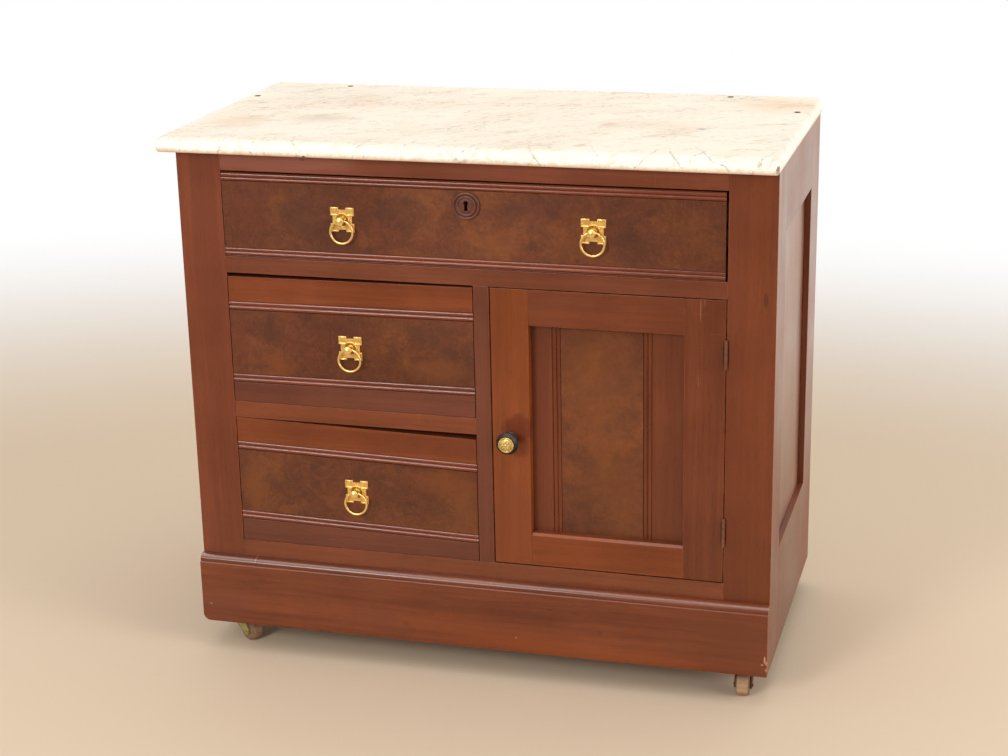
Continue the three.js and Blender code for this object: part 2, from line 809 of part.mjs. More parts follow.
function topDrawer() {
  const width = 2 * bay_edge - top_front_left_gap - top_front_right_gap
  const length = back_y - fit
  const top = top_front.height
  const key_z = top - keyhole_drop
  const shift = (top_front_left_gap - top_front_right_gap) / 2
  const drawer = new THREE.Group()
  drawer.position.set(shift, 0, top_floor_z + running_gap)
  const places = [-1, 1].map((side) => [(side * top_pull_spacing) / 2, top / 2])
  const keyhole = bar(keyholeOutline(), 'y', [-1, front_thickness]).translate(-shift, 0, key_z)
  const front = cut(drawerFront(top_front, width, places), keyhole, lockMortise(top).translate(-shift, 0, 0))
  const lock = piece('lock_case', lockCase(top), iron())
  lock.position.x = -shift
  const bolt_x = [-bolt_width / 2, bolt_width / 2]
  const bolt = piece('lock_bolt', block(bolt_x, bolt_y, [top - bolt_length - fit, top - fit]), dull_brass())
  bolt.position.x = -shift
  const plate = piece('escutcheon', escutcheon(), turned_wood())
  plate.position.set(-shift, 0, key_z)
  drawer.add(
    piece('top_drawer_front', front, burl()),
    piece('top_drawer_box', drawerBox(top_front, width, length), poplar()),
    piece('top_drawer_bottom', drawerBottom(width, length), poplar()),
    lock, bolt, plate,
  )
  places.forEach(([x, z], i) => {
    const pull = ringPull(['top_left_pull', 'top_right_pull'][i])
    pull.position.set(x, 0, z)
    drawer.add(pull)
  })
  return drawer
}

// The door is drawn from its hinge axis, so x runs from there to the left
const door_width = bay_edge - door_bay_x - door_left_gap - door_right_gap
const door_height = middle_rail_z - floor_z - door_top_gap - door_bottom_gap
const hinge_x = bay_edge - door_right_gap / 2
const hinge_y = -hinge_barrel_radius - fit
const door_z = floor_z + door_bottom_gap
const door_right = -door_right_gap / 2
const door_left = door_right - door_width
const door_face = -hinge_y
const door_back = door_face + door_thickness
const panel_x = [door_left + door_left_stile, door_right - door_right_stile]
const panel_z = [door_bottom_rail, door_height - door_top_rail]
const hinge_heights = [hinge_inset, door_height - hinge_inset - hinge_height]

// Where the frame's leaf is let into the post
function frameLeafSeat(height) {
  const z = [door_z + height, door_z + height + hinge_height]
  const x = [bay_edge - 1, hinge_x + door_right_gap / 2 + hinge_leaf_thickness]
  return block(x, [-1, hinge_leaf_width + fit], widen(z, fit))
}

// Rabbet round the back of the door's opening, for the panel
function panelRabbet() {
  return block(
    widen(panel_x, door_rabbet),
    [door_face + door_panel_recess - fit, door_back + 1],
    widen(panel_z, door_rabbet),
  )
}

// Stub tenons of a door rail, in front of the rabbet
function doorTenons(z, grow = 0) {
  const start = door_face + door_tenon_setback
  const y = [start - grow, start + tenon_thickness + grow]
  const height = widen(z, grow - tenon_shoulder)
  return [
    block([panel_x[0] - tenon_length - grow, panel_x[0]], y, height),
    block([panel_x[1], panel_x[1] + tenon_length + grow], y, height),
  ]
}

const door_rail_spans = [[0, panel_z[0]], [panel_z[1], door_height]]

function doorStile(left) {
  const x = left ? [door_left, panel_x[0]] : [panel_x[1], door_right]
  const body = block(x, [door_face, door_back], [0, door_height])
  const cuts = door_rail_spans.map((span) => doorTenons(span, fit)[left ? 0 : 1])
  cuts.push(panelRabbet())
  if (left) cuts.push(rod(spindle_radius + fit, '-y', [-door_back - 1, 0]).translate(knob_x, 0, knob_height))
  if (!left) {
    const seat_x = [-door_right_gap / 2 - hinge_leaf_thickness, 1]
    for (const height of hinge_heights) {
      const seat_z = widen([height, height + hinge_height], fit)
      cuts.push(block(seat_x, [0, -hinge_y + hinge_leaf_width + fit], seat_z))
    }
  }
  return cut(body, ...cuts)
}

function doorRail(z, chamfered) {
  const body = join(block(panel_x, [door_face, door_back], z), ...doorTenons(z))
  const cuts = [panelRabbet()]
  if (chamfered) {
    const size = door_rail_chamfer
    const [near, above] = [door_face - 1, z[1] + 1]
    const corner = outline([near, z[1] - size - 1], [door_face + size + 1, above], [near, above])
    cuts.push(bar(corner, 'x', widen(panel_x, 1)))
  }
  return cut(body, ...cuts)
}

// Flat panel with two pairs of reeds run up its face
function doorPanel() {
  const x = widen(panel_x, door_rabbet - fit)
  const z = widen(panel_z, door_rabbet - fit)
  const face = door_face + door_panel_recess
  const [pitch, depth] = door_reed
  const { radius, angle } = reedArc(door_reed)
  const section = new THREE.Shape()
  section.moveTo(x[0], door_back)
  section.lineTo(x[0], face)
  for (const middle of [panel_x[0] + left_reeds_inset, panel_x[1] - right_reeds_inset]) {
    const start = middle - (reeds_in_band * pitch) / 2
    const end = start + reeds_in_band * pitch
    section.lineTo(start, face)
    for (let i = 0; i < reeds_in_band; i++) {
      const crest = start + (i + 0.5) * pitch
      section.lineTo(crest - pitch / 2, face + depth)
      section.absarc(crest, face + radius, radius, -Math.PI / 2 - angle, -Math.PI / 2 + angle)
    }
    section.lineTo(end, face + depth)
    section.lineTo(end, face)
  }
  section.lineTo(x[1], face)
  section.lineTo(x[1], door_back)
  return bar(section, 'z', z, reed_steps)
}

// A hinge leaf from the axis back along y, with its share of the barrel. The frame's leaf has the pin.
function hingeLeaf(on_frame) {
  const knuckle = hinge_height / hinge_knuckles
  const side = on_frame ? 1 : -1
  const leaf_x = [side * hinge_leaf_play, side * (hinge_leaf_play + hinge_leaf_thickness)]
  const parts = []
  for (let i = 0; i < hinge_knuckles; i++) {
    if ((i % 2 === 0) === on_frame) {
      const start = i * knuckle + (i > 0 ? fit / 2 : 0)
      const end = (i + 1) * knuckle - (i < hinge_knuckles - 1 ? fit / 2 : 0)
      parts.push(rod(hinge_barrel_radius, 'z', [start, end], 14))
      parts.push(block(leaf_x, [0, -hinge_y + 1], [start, end]))
    }
  }
  parts.push(block(leaf_x, [-hinge_y, -hinge_y + hinge_leaf_width], [0, hinge_height]))
  if (on_frame) return join(...parts, rod(hinge_pin_radius, 'z', [0.5, hinge_height - 0.5], 12))
  return cut(join(...parts), rod(hinge_pin_radius + fit, 'z', [-1, hinge_height + 1], 12))
}

const knob_x = door_left + knob_inset
const latch_y = door_thickness + latch_gap // from the door's face to the tongue
const latch_length = knob_inset + door_left_gap + latch_overlap

// Turned knob, one piece with its spindle, whose riveted end keeps the tongue on
function doorKnob() {
  const tongue_start = -latch_y
  const tongue_end = tongue_start - latch_thickness - 2 * fit
  const rivet_radius = spindle_end_radius + 1.6
  return turned([
    [0, tongue_end - 1.5], [rivet_radius, tongue_end - 1.5], [rivet_radius, tongue_end],
    [spindle_end_radius, tongue_end], [spindle_end_radius, tongue_start], [spindle_radius, tongue_start],
    [spindle_radius, fit], [knob_rose_radius, fit],
    ...arc([knob_rose_radius - 1.5, fit + 1.5], 1.5, 0, 90, 2),
    ...arc([knob_neck_radius + 2.5, fit + 6], 2.5, 230, 130, 3),
    [knob_rim_radius - 3, knob_rim_reach - 4.5],
    ...arc([knob_rim_radius - 2.4, knob_rim_reach], 2.4, -55, 70, 4),
    [knob_cap_radius + 1.2, knob_body_reach - 1], [knob_cap_radius + 0.4, knob_body_reach],
    [0, knob_body_reach],
  ], '-y', 18)
}

function knobCap() {
  const rise = knob_cap_thickness - 1
  const dome_radius = knob_cap_radius - 3.2
  const base = knob_body_reach
  return turned([
    [0, base], [knob_cap_radius, base],
    ...arc([knob_cap_radius - 0.7, base + 0.7], 0.7, 0, 90, 2),
    [knob_cap_radius - 2, base + 1.4], [knob_cap_radius - 2.6, base + 1],
    ...arc([0, 0], 1, 0, 90, 4).map(([r, h]) => [r * dome_radius, base + 1 + h * rise]),
  ], '-y', 18)
}

// Latch tongue hanging straight down, which leaves the door free
function latchTongue() {
  const width = latch_width / 2
  const foot = width * latch_taper
  const plate = new THREE.Shape()
  plate.moveTo(-width, 0)
  plate.absarc(0, 0, width, Math.PI, 0, true)
  plate.lineTo(foot, -latch_length + 2)
  plate.lineTo(foot - 2, -latch_length)
  plate.lineTo(-foot + 2, -latch_length)
  plate.lineTo(-foot, -latch_length + 2)
  const hole = new THREE.Path()
  hole.absarc(0, 0, spindle_end_radius + fit, 0, 2 * Math.PI)
  plate.holes.push(hole)
  return bar(plate, 'y', [latch_y + fit, latch_y + fit + latch_thickness])
}

function door() {
  const leaf = new THREE.Group()
  leaf.position.set(hinge_x, hinge_y, door_z)
  const turn = new THREE.Group()
  turn.position.set(knob_x, door_face, knob_height)
  turn.add(
    piece('door_knob', doorKnob(), ebonised()),
    piece('knob_cap', knobCap(), cap_brass()),
    piece('latch_tongue', latchTongue(), dull_brass()),
  )
  leaf.add(
    piece('door_left_stile', doorStile(true), warm_walnut()),
    piece('door_right_stile', doorStile(false), walnut()),
    piece('door_top_rail', doorRail(door_rail_spans[1], false), walnut()),
    piece('door_bottom_rail', doorRail(door_rail_spans[0], true), walnut()),
    piece('door_panel', doorPanel(), burl()),
    turn,
  )
  hinge_heights.forEach((height, i) => {
    const hinge = piece(`${['lower', 'upper'][i]}_hinge_door_leaf`, hingeLeaf(false), hinge_brass())
    hinge.position.z = height
    leaf.add(hinge)
  })
  return leaf
}

function frameHinge(i) {
  const hinge = piece(`${['lower', 'upper'][i]}_hinge_frame_leaf`, hingeLeaf(true), hinge_brass())
  hinge.position.set(hinge_x, hinge_y, door_z + hinge_heights[i])
  return hinge
}

// Fork of a caster in its own frame: the stem on the z axis, the wheel trailing along +x
function casterFork() {
  const top = foot_gap - fit
  const bridge_z = 2 * wheel_radius + 2
  const arm = new THREE.Shape()
  arm.moveTo(-fork_eye_radius, bridge_z + fork_bridge)
  arm.lineTo(-fork_eye_radius, bridge_z)
  arm.quadraticCurveTo(0, wheel_radius + 6, caster_trail - fork_boss_radius, wheel_radius - 1)
  arm.absarc(caster_trail, wheel_radius, fork_boss_radius, Math.PI, 2 * Math.PI)
  arm.quadraticCurveTo(caster_trail + 4, bridge_z - 4, fork_eye_radius + 4, bridge_z + fork_bridge)
  const inner = wheel_width / 2 + fit
  const arms = [-1, 1].map((side) => bar(arm, 'y', [side * inner, side * (inner + fork_thickness)], 4))
  const bridge = block(
    [-fork_eye_radius, fork_eye_radius + 2],
    [-inner - fork_thickness, inner + fork_thickness],
    [bridge_z, bridge_z + fork_bridge],
  )
  const stem = turned([
    [0, bridge_z + 1], [collar_radius, bridge_z + 1], [collar_radius, bridge_z + fork_bridge + 1],
    [collar_radius - 2, top], [stem_radius, top], [stem_radius, foot_gap + stem_length - 1],
    [stem_radius - 1, foot_gap + stem_length], [0, foot_gap + stem_length],
  ], 'z', 10)
  const axle_reach = inner + fork_thickness + 1.2
  const axle = turned([
    [0, -axle_reach], [axle_radius, -axle_reach], [axle_radius, axle_reach], [0, axle_reach],
  ], '-y', 10).translate(caster_trail, 0, wheel_radius)
  return join(...arms, bridge, stem, axle)
}

function casterWheel() {
  const edge = wheel_width / 2
  const bore = axle_radius + fit
  const profile = [
    [bore, -edge], [wheel_radius - wheel_round, -edge],
    ...arc([wheel_radius - wheel_round, -edge + wheel_round], wheel_round, -90, 0, 3).slice(1),
    ...arc([wheel_radius - wheel_round, edge - wheel_round], wheel_round, 0, 90, 3),
    [bore, edge], [bore, -edge],
  ]
  return turned(profile, '-y', 18)
}

function caster(name) {
  const [end, side] = name.split('_')
  const stand = new THREE.Group()
  stand.position.set(
    (side === 'left' ? -1 : 1) * (half - caster_inset),
    end === 'front' ? caster_inset : case_depth - caster_inset,
    0,
  )
  stand.rotation.z = THREE.MathUtils.degToRad(caster_headings[name])
  const wheel = piece(`${name}_caster_wheel`, casterWheel(), wheel_wood())
  wheel.position.set(caster_trail, 0, wheel_radius)
  stand.add(piece(`${name}_caster_fork`, casterFork(), dull_brass()), wheel)
  return stand
}

const washstand = new THREE.Group()
washstand.add(
  piece('marble_top', marbleTop(), marble()),
  piece('front_post_left', frontPost(-1), walnut()),
  piece('front_post_right', frontPost(1), walnut()),
  piece('top_rail', topRail(), walnut()),
  piece('middle_rail', dividedRail(middle_rail_span, 1), walnut()),
  piece('drawer_rail', rail(drawer_rail_x, drawer_rail_span, drawer_rail_tenons), walnut()),
  piece('bottom_rail', dividedRail(bottom_rail_span, 0), walnut()),
  piece('divider_stile', dividerStile(), walnut()),
  piece('side_frame_left', sideFrame(-1), walnut()),
  piece('side_frame_right', sideFrame(1), walnut()),
  piece('side_panel_left', sidePanel(-1), walnut()),
  piece('side_panel_right', sidePanel(1), walnut()),
  piece('back_boards', backBoards(), poplar()),
  piece('bottom_board', bottomBoard(), poplar()),
  piece('dust_frame', dustFrame(), poplar()),
  piece('partition', partition(), poplar()),
  piece('drawer_runner_left', leftRunner(), poplar()),
  piece('drawer_runner_right', rightRunner(), poplar()),
  piece('plinth_board', plinthBoard(), walnut()),
  piece('plinth_moulding', plinthMoulding(), walnut()),
  frameHinge(0),
  frameHinge(1),
  topDrawer(),
  smallDrawer('upper_drawer', upper_front, upper_floor_z),
  smallDrawer('lower_drawer', lower_front, floor_z),
  door(),
)
for (const name of Object.keys(caster_headings)) washstand.add(caster(name))

// The origin is the middle of the whole footprint: slab from side to side, knob to slab from front to back
const knob_front = -knob_body_reach - knob_cap_thickness
const rearmost = Math.max(case_depth, slab_y[1])
washstand.position.set(-(slab_x[0] + slab_x[1]) / 2, -(knob_front + rearmost) / 2, 0)

const part = new THREE.Group()
part.add(washstand)
export default part
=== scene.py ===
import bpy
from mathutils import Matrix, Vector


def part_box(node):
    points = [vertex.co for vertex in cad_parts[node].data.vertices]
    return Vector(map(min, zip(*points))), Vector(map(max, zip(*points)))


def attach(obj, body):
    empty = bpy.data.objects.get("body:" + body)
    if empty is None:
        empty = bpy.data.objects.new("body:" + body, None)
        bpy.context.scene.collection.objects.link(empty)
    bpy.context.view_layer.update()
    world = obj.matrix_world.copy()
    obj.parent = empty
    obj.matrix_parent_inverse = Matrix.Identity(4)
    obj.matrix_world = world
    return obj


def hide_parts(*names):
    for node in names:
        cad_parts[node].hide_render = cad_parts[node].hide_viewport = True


bl_info = {
    "name": "Washstand",
    "version": (1, 0, 0),
    "blender": (4, 5, 0),
    "location": "3D View > Sidebar > Washstand",
    "description": "A walnut washstand with a marble top, finished round its packed frame",
    "category": "Object",
}

import math

import bmesh
import bpy
from mathutils import Matrix, Vector, noise

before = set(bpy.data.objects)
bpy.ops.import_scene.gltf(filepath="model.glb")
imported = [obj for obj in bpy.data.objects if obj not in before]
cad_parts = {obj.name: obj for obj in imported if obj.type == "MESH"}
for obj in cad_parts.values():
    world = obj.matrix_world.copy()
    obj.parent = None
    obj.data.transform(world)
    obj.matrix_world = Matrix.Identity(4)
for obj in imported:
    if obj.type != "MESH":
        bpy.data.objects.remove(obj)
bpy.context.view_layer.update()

MM = 0.001
MERGE = 1e-5
NEAR = 0.1 * MM
X = Vector((1, 0, 0))
Y = Vector((0, 1, 0))
Z = Vector((0, 0, 1))


def srgb(red, green, blue):
    """A colour of 0 to 255 on the screen as the linear numbers that shaders take."""
    levels = [level / 255 for level in (red, green, blue)]
    return tuple(level / 12.92 if level <= 0.04045 else ((level + 0.055) / 1.055) ** 2.4 for level in levels)


def scaled(colour, share):
    """A colour made lighter or darker, channel by channel where share has three numbers."""
    shares = share if hasattr(share, "__len__") else (share,) * 3
    return tuple(min(1.0, part * change) for part, change in zip(colour, shares))


# Sizes and colours

def tint(name, description, default):
    return bpy.props.FloatVectorProperty(
        name=name, description=description, default=default, size=3, min=0, max=1, subtype="COLOR"
    )


def length(name, description, default):
    return bpy.props.FloatProperty(
        name=name, description=description, default=default * MM, min=0, precision=4, unit="LENGTH"
    )


class WashstandWood(bpy.types.PropertyGroup):
    red_walnut: tint("Red walnut", "Stained walnut of the posts and rails", srgb(113, 56, 30))
    orange_walnut: tint("Orange walnut", "Warmer boards of the door and drawer tops", srgb(129, 63, 24))
    purple_walnut: tint("Purple walnut", "Darker boards of the drawer feet and divider", srgb(101, 53, 35))
    burl_shadow: tint("Burl shadow", "Greyish dark patches of the burl veneer", srgb(68, 39, 28))
    burl_body: tint("Burl body", "Middle tone of the burl veneer", srgb(101, 54, 32))
    burl_amber: tint("Burl amber", "Amber clouds of the burl veneer", srgb(125, 70, 32))
    poplar: tint("Poplar", "Unfinished wood inside and at the back", srgb(184, 148, 110))
    ebonised: tint("Ebonised wood", "Blackened wood of the door knob", srgb(46, 34, 29))
    wheel_wood: tint("Wheel wood", "Tan wood of the caster wheels", srgb(168, 134, 104))
    arris: length("Eased arris", "Width rubbed off the edges of the boards", 0.5)


class WashstandStone(bpy.types.PropertyGroup):
    cream: tint("Cream", "Ground colour of the marble", srgb(236, 226, 208))
    tan_vein: tint("Tan vein", "Tan and pink streaks in the marble", srgb(214, 182, 152))
    grey_vein: tint("Grey vein", "Thin grey veins in the marble", srgb(150, 140, 134))
    top_round: length("Top round", "Rounding of the slab's upper edge", 9)
    front_corner: length("Front corner", "Rounding of the slab's two front corners in plan", 3.5)
    lower_arris: length("Lower arris", "Rounding of the slab's lower edge", 3.5)
    hole_radius: length("Hole radius", "Radius of the four holes near the back", 4.5)


class WashstandMetal(bpy.types.PropertyGroup):
    bright_brass: tint("Bright brass", "Polished brass of the ring pulls", srgb(250, 210, 130))
    cap_brass: tint("Cap brass", "Worn brass of the knob's cap", srgb(224, 194, 118))
    aged_brass: tint("Aged brass", "Dull brass of the casters and the latch", srgb(182, 172, 112))
    hinge_brass: tint("Hinge brass", "Brown brass of the hinges", srgb(140, 92, 66))
    iron: tint("Iron", "Dark iron of the lock and screws", srgb(74, 70, 66))


class WashstandView(bpy.types.PropertyGroup):
    floor: tint("Floor", "Colour of the floor under the washstand", srgb(220, 198, 171))
    key_power: bpy.props.FloatProperty(
        name="Key light", description="Power of the large light at the front left", default=55, unit="POWER"
    )
    fill_power: bpy.props.FloatProperty(
        name="Fill light", description="Power of the soft light at the front right", default=44, unit="POWER"
    )
    top_power: bpy.props.FloatProperty(
        name="Top light", description="Power of the soft light overhead", default=16, unit="POWER"
    )
    focal: bpy.props.FloatProperty(name="Focal length", description="Of the camera, in mm", default=71.48)
    azimuth: bpy.props.FloatProperty(
        name="Azimuth", description="Camera's turn about Z", default=math.radians(15.95), subtype="ANGLE"
    )
    elevation: bpy.props.FloatProperty(
        name="Elevation", description="Camera's rise", default=math.radians(18.08), subtype="ANGLE"
    )
    roll: bpy.props.FloatProperty(
        name="Roll", description="Camera's roll", default=math.radians(-1.203), subtype="ANGLE"
    )
    place: bpy.props.FloatVectorProperty(
        name="Place", description="Camera's place", default=(0.7026, -2.45565, 1.1814), subtype="TRANSLATION"
    )


# Modelling

def take(piece):
    """Leaves edit mode and makes a piece the only one selected."""
    if bpy.context.mode != "OBJECT":
        bpy.ops.object.mode_set(mode="OBJECT")
    bpy.ops.object.select_all(action="DESELECT")
    if piece is not None:
        piece.select_set(True)
        bpy.context.view_layer.objects.active = piece
    return piece


def edit(piece, kind="FACE", test=None):
    """Opens a piece in edit mode with the faces, edges or points selected that pass the test."""
    take(piece)
    bpy.ops.object.mode_set(mode="EDIT")
    bpy.ops.mesh.select_mode(type=kind)
    bpy.ops.mesh.select_all(action="SELECT" if test is None else "DESELECT")
    if test is not None:
        shape = bmesh.from_edit_mesh(piece.data)
        items = {"FACE": shape.faces, "EDGE": shape.edges, "VERT": shape.verts}[kind]
        for item in items:
            if test(item):
                item.select_set(True)
        shape.select_flush_mode()
        bmesh.update_edit_mesh(piece.data)


def named(name):
    """The primitive just added, renamed, with its place taken into its mesh."""
    piece = bpy.context.object
    piece.name = name
    piece.data.name = name
    bpy.ops.object.transform_apply(location=True, rotation=True, scale=True)
    return piece


def cube(name, low, high):
    take(None)
    bpy.ops.mesh.primitive_cube_add(size=1, location=(low + high) / 2, scale=high - low)
    return named(name)


def cylinder(name, radius, start, end, steps=32):
    """A rod between two points."""
    take(None)
    along = end - start
    turn = along.to_track_quat("Z", "Y").to_euler()
    bpy.ops.mesh.primitive_cylinder_add(
        vertices=steps, radius=radius, depth=along.length, location=(start + end) / 2, rotation=turn
    )
    return named(name)


def lathe(name, profile, place, axis, steps=48):
    """Spins a line of (radius, height) points, in mm, round an axis through a place."""
    out = Z if abs(axis.x) > 0.5 else X
    points = [place + (out * radius + axis * height) * MM for radius, height in profile]
    take(None)
    bpy.ops.mesh.primitive_plane_add(size=MM, location=points[0])
    piece = named(name)
    edit(piece, "VERT")
    bpy.ops.mesh.merge(type="CENTER")
    for start, end in zip(points, points[1:]):
        bpy.ops.mesh.extrude_vertices_move(TRANSFORM_OT_translate={"value": end - start})
    bpy.ops.mesh.select_all(action="SELECT")
    bpy.ops.mesh.spin(steps=steps, angle=2 * math.pi, center=place, axis=axis)
    tidy(piece)
    return piece


def arc(centre, radius, start, end, steps=6):
    """Points of a turned profile along an arc, from one angle in degrees to another."""
    angles = [math.radians(start + (end - start) * i / steps) for i in range(steps + 1)]
    return [(centre[0] + radius * math.cos(turn), centre[1] + radius * math.sin(turn)) for turn in angles]


def tidy(piece):
    """Merges doubles and turns every face outwards."""
    edit(piece)
    bpy.ops.mesh.remove_doubles(threshold=MERGE)
    bpy.ops.mesh.select_all(action="SELECT")
    bpy.ops.mesh.normals_make_consistent(inside=False)
    take(piece)


def merged(piece):
    """Merges doubles and makes flat faces whole."""
    edit(piece)
    bpy.ops.mesh.remove_doubles(threshold=MERGE)
    bpy.ops.mesh.dissolve_limited(angle_limit=math.radians(0.6))
    return take(piece)


def copy_of(node, name):
    """A copy of a node's mesh, its loose triangles merged and its flat faces made whole."""
    piece = bpy.data.objects.new(name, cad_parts[node].data.copy())
    piece.data.name = name
    bpy.context.scene.collection.objects.link(piece)
    piece.data.materials.clear()
    take(piece)
    if piece.data.has_custom_normals:
        bpy.ops.mesh.customdata_custom_splitnormals_clear()
    return merged(piece)


def twin(piece, name, place):
    """A copy of a piece with its own mesh, put in place by a matrix."""
    copy = piece.copy()
    copy.data = piece.data.copy()
    copy.name = name
    copy.data.name = name
    copy.data.transform(place)
    bpy.context.scene.collection.objects.link(copy)
    return copy


def trim(piece, point, away):
    """Cuts off what lies beyond a point in the direction away and closes the cut."""
    edit(piece)
    bpy.ops.mesh.bisect(plane_co=point, plane_no=away, use_fill=True, clear_outer=True, threshold=1e-6)
    take(piece)
    return piece


def apply(piece, kind, **settings):
    """Adds a modifier with its settings and applies it."""
    take(piece)
    step = piece.modifiers.new(kind.lower(), kind)
    for key, value in settings.items():
        setattr(step, key, value)
    bpy.ops.object.modifier_apply(modifier=step.name)
    return piece


def carve(piece, tool, operation="DIFFERENCE"):
    """Joins, cuts or keeps by another closed shape, which is used up."""
    apply(piece, "BOOLEAN", object=tool, operation=operation, solver="EXACT", material_mode="TRANSFER")
    bpy.data.objects.remove(tool)
    return piece


def joined(name, *pieces):
    take(pieces[0])
    for piece in pieces[1:]:
        piece.select_set(True)
    bpy.ops.object.join()
    return named(name)


def ease(piece, width, least=4 * MM, angle=50, rubbed=-1):
    """Rounds the sharp outer edges of a piece, and may give the new faces one of its finishes."""
    limit = math.radians(angle)

    def sharp(edge):
        if not (edge.is_manifold and edge.is_convex):
            return False
        return edge.calc_length() >= least and edge.calc_face_angle() >= limit

    edit(piece, "EDGE", sharp)
    bpy.ops.mesh.bevel(
        offset=width, segments=2, profile=0.5, affect="EDGES", clamp_overlap=False, material=rubbed
    )
    take(piece)
    return piece


def smooth(piece, angle=38):
    """Shades curves smooth and keeps flat faces flat."""
    take(piece)
    bpy.ops.object.shade_smooth_by_angle(angle=math.radians(angle))
    return apply(piece, "WEIGHTED_NORMAL", keep_sharp=True)


def paint(piece, *finishes, zone=None):
    """Gives a piece its finishes, face by face where zone names one."""
    take(piece)
    for finish in finishes:
        piece.data.materials.append(finish)
    if zone is not None:
        for face in piece.data.polygons:
            face.material_index = zone(face)
    return piece


def fit(piece, body, slot, *nodes):
    """Sends a piece with its body and hides the nodes that it stands for; its slot is not used."""
    take(None)
    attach(piece, body)
    if nodes:
        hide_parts(*nodes)
    return piece


def screwed(piece, finish, radius, out, places):
    """Sinks slotted screw heads into a piece, flush with it at each place and each turned its own way."""
    parts = [piece]
    for i, place in enumerate(places):
        carve(piece, cylinder("seat", radius * 1.12, place - out * 0.5 * MM, place + out * MM, 24))
        head = cylinder("head", radius, place - out * 0.6 * MM, place - out * 0.08 * MM, 24)
        side = out.cross(Z) * (0.18 * radius) + Z * radius * 1.4 + out * 0.25 * MM
        reach = Vector(abs(part) for part in side)
        slot = cube("slot", place - out * 0.1 * MM - reach, place - out * 0.1 * MM + reach)
        turn = Matrix.Rotation(0.5 + 1.1 * i, 4, out)
        slot.data.transform(Matrix.Translation(place) @ turn @ Matrix.Translation(-place))
        carve(head, slot)
        parts.append(smooth(paint(head, finish)))
    return joined(piece.name, *parts)


def broad_face(piece, out):
    """The middle of the largest face that looks along out."""
    faces = [face for face in piece.data.polygons if face.normal.dot(out) > 0.95]
    return max(faces, key=lambda face: face.area).center.copy()


def lump(place, size, seed, finish):
    """A rough lump that breaks a piece out of an edge."""
    take(None)
    bpy.ops.mesh.primitive_ico_sphere_add(subdivisions=3, radius=1)
    tool = named("lump")
    for point in tool.data.vertices:
        swell = 1 + 0.5 * noise.noise(point.co * 1.6 + Vector((seed, seed, seed)))
        point.co = place + Vector(part * reach for part, reach in zip(point.co * swell, size))
    tool.data.materials.append(finish)
    return tool


# Shader nodes

def fill(tree, node, inputs):
    """Sets a node's inputs to values, or links them to sockets."""
    for key, value in inputs.items():
        socket = node.inputs[key]
        if isinstance(value, bpy.types.NodeSocket):
            tree.links.new(value, socket)
        elif socket.type == "RGBA":
            socket.default_value = (*tuple(value)[:3], 1)
        else:
            socket.default_value = value
    return node


def add(tree, kind, inputs=None, **settings):
    """A new node with its settings and its inputs."""
    node = tree.nodes.new("ShaderNode" + kind)
    for key, value in settings.items():
        setattr(node, key, value)
    return fill(tree, node, inputs or {})


def calc(tree, operation, first, second=0.0):
    return add(tree, "Math", {0: first, 1: second}, operation=operation).outputs[0]


def times(tree, first, second):
    return calc(tree, "MULTIPLY", first, second)


def plus(tree, first, second):
    return calc(tree, "ADD", first, second)


def minus(tree, first, second):
    return calc(tree, "SUBTRACT", first, second)


def most(tree, first, second):
    return calc(tree, "MAXIMUM", first, second)


def ray_kinds(tree):
    """Masks of the rays straight from the camera, and of those mirrored or seen through glass."""
    path = add(tree, "LightPath").outputs
    return path["Is Camera Ray"], most(tree, path["Is Glossy Ray"], path["Is Transmission Ray"])


def mix(tree, share, first, second, kind="MIX"):
    return add(tree, "Mix", {0: share, 6: first, 7: second}, data_type="RGBA", blend_type=kind).outputs[2]


def spread(tree, value, low, high, start=0.0, end=1.0):
    """A value taken from low..high to start..end, and held there."""
    inputs = {0: value, 1: low, 2: high, 3: start, 4: end}
    return add(tree, "MapRange", inputs, interpolation_type="SMOOTHSTEP").outputs[0]


def stretch(tree, vector, scale):
    return add(tree, "VectorMath", {0: vector, 1: scale}, operation="MULTIPLY").outputs[0]


def length_of(tree, vector):
    return add(tree, "VectorMath", {0: vector}, operation="LENGTH").outputs["Value"]


def split(tree, vector):
    return add(tree, "SeparateXYZ", {0: vector}).outputs


def clouds(tree, vector, scale, detail=2.0, roughness=0.5, distortion=0.0):
    inputs = {
        "Vector": vector, "Scale": scale, "Detail": detail, "Roughness": roughness, "Distortion": distortion,
    }
    return add(tree, "TexNoise", inputs).outputs[0]


def new_group(name, given, made):
    """A node group: its inputs each have a kind or, where they are numbers, a default."""
    tree = bpy.data.node_groups.new(name, "ShaderNodeTree")
    for label, value in given.items():
        kind = value if isinstance(value, str) else "Float"
        socket = tree.interface.new_socket(label, in_out="INPUT", socket_type="NodeSocket" + kind)
        if kind == "Float":
            socket.default_value = value
    for label, kind in made.items():
        tree.interface.new_socket(label, in_out="OUTPUT", socket_type="NodeSocket" + kind)
    return tree, tree.nodes.new("NodeGroupInput").outputs, tree.nodes.new("NodeGroupOutput")


def use(tree, build, inputs):
    """The outputs of the group that a function builds, which is built once."""
    name = build.__name__.replace("_", " ").title()
    group = bpy.data.node_groups.get(name) or build(name)
    return add(tree, "Group", inputs, node_tree=group).outputs


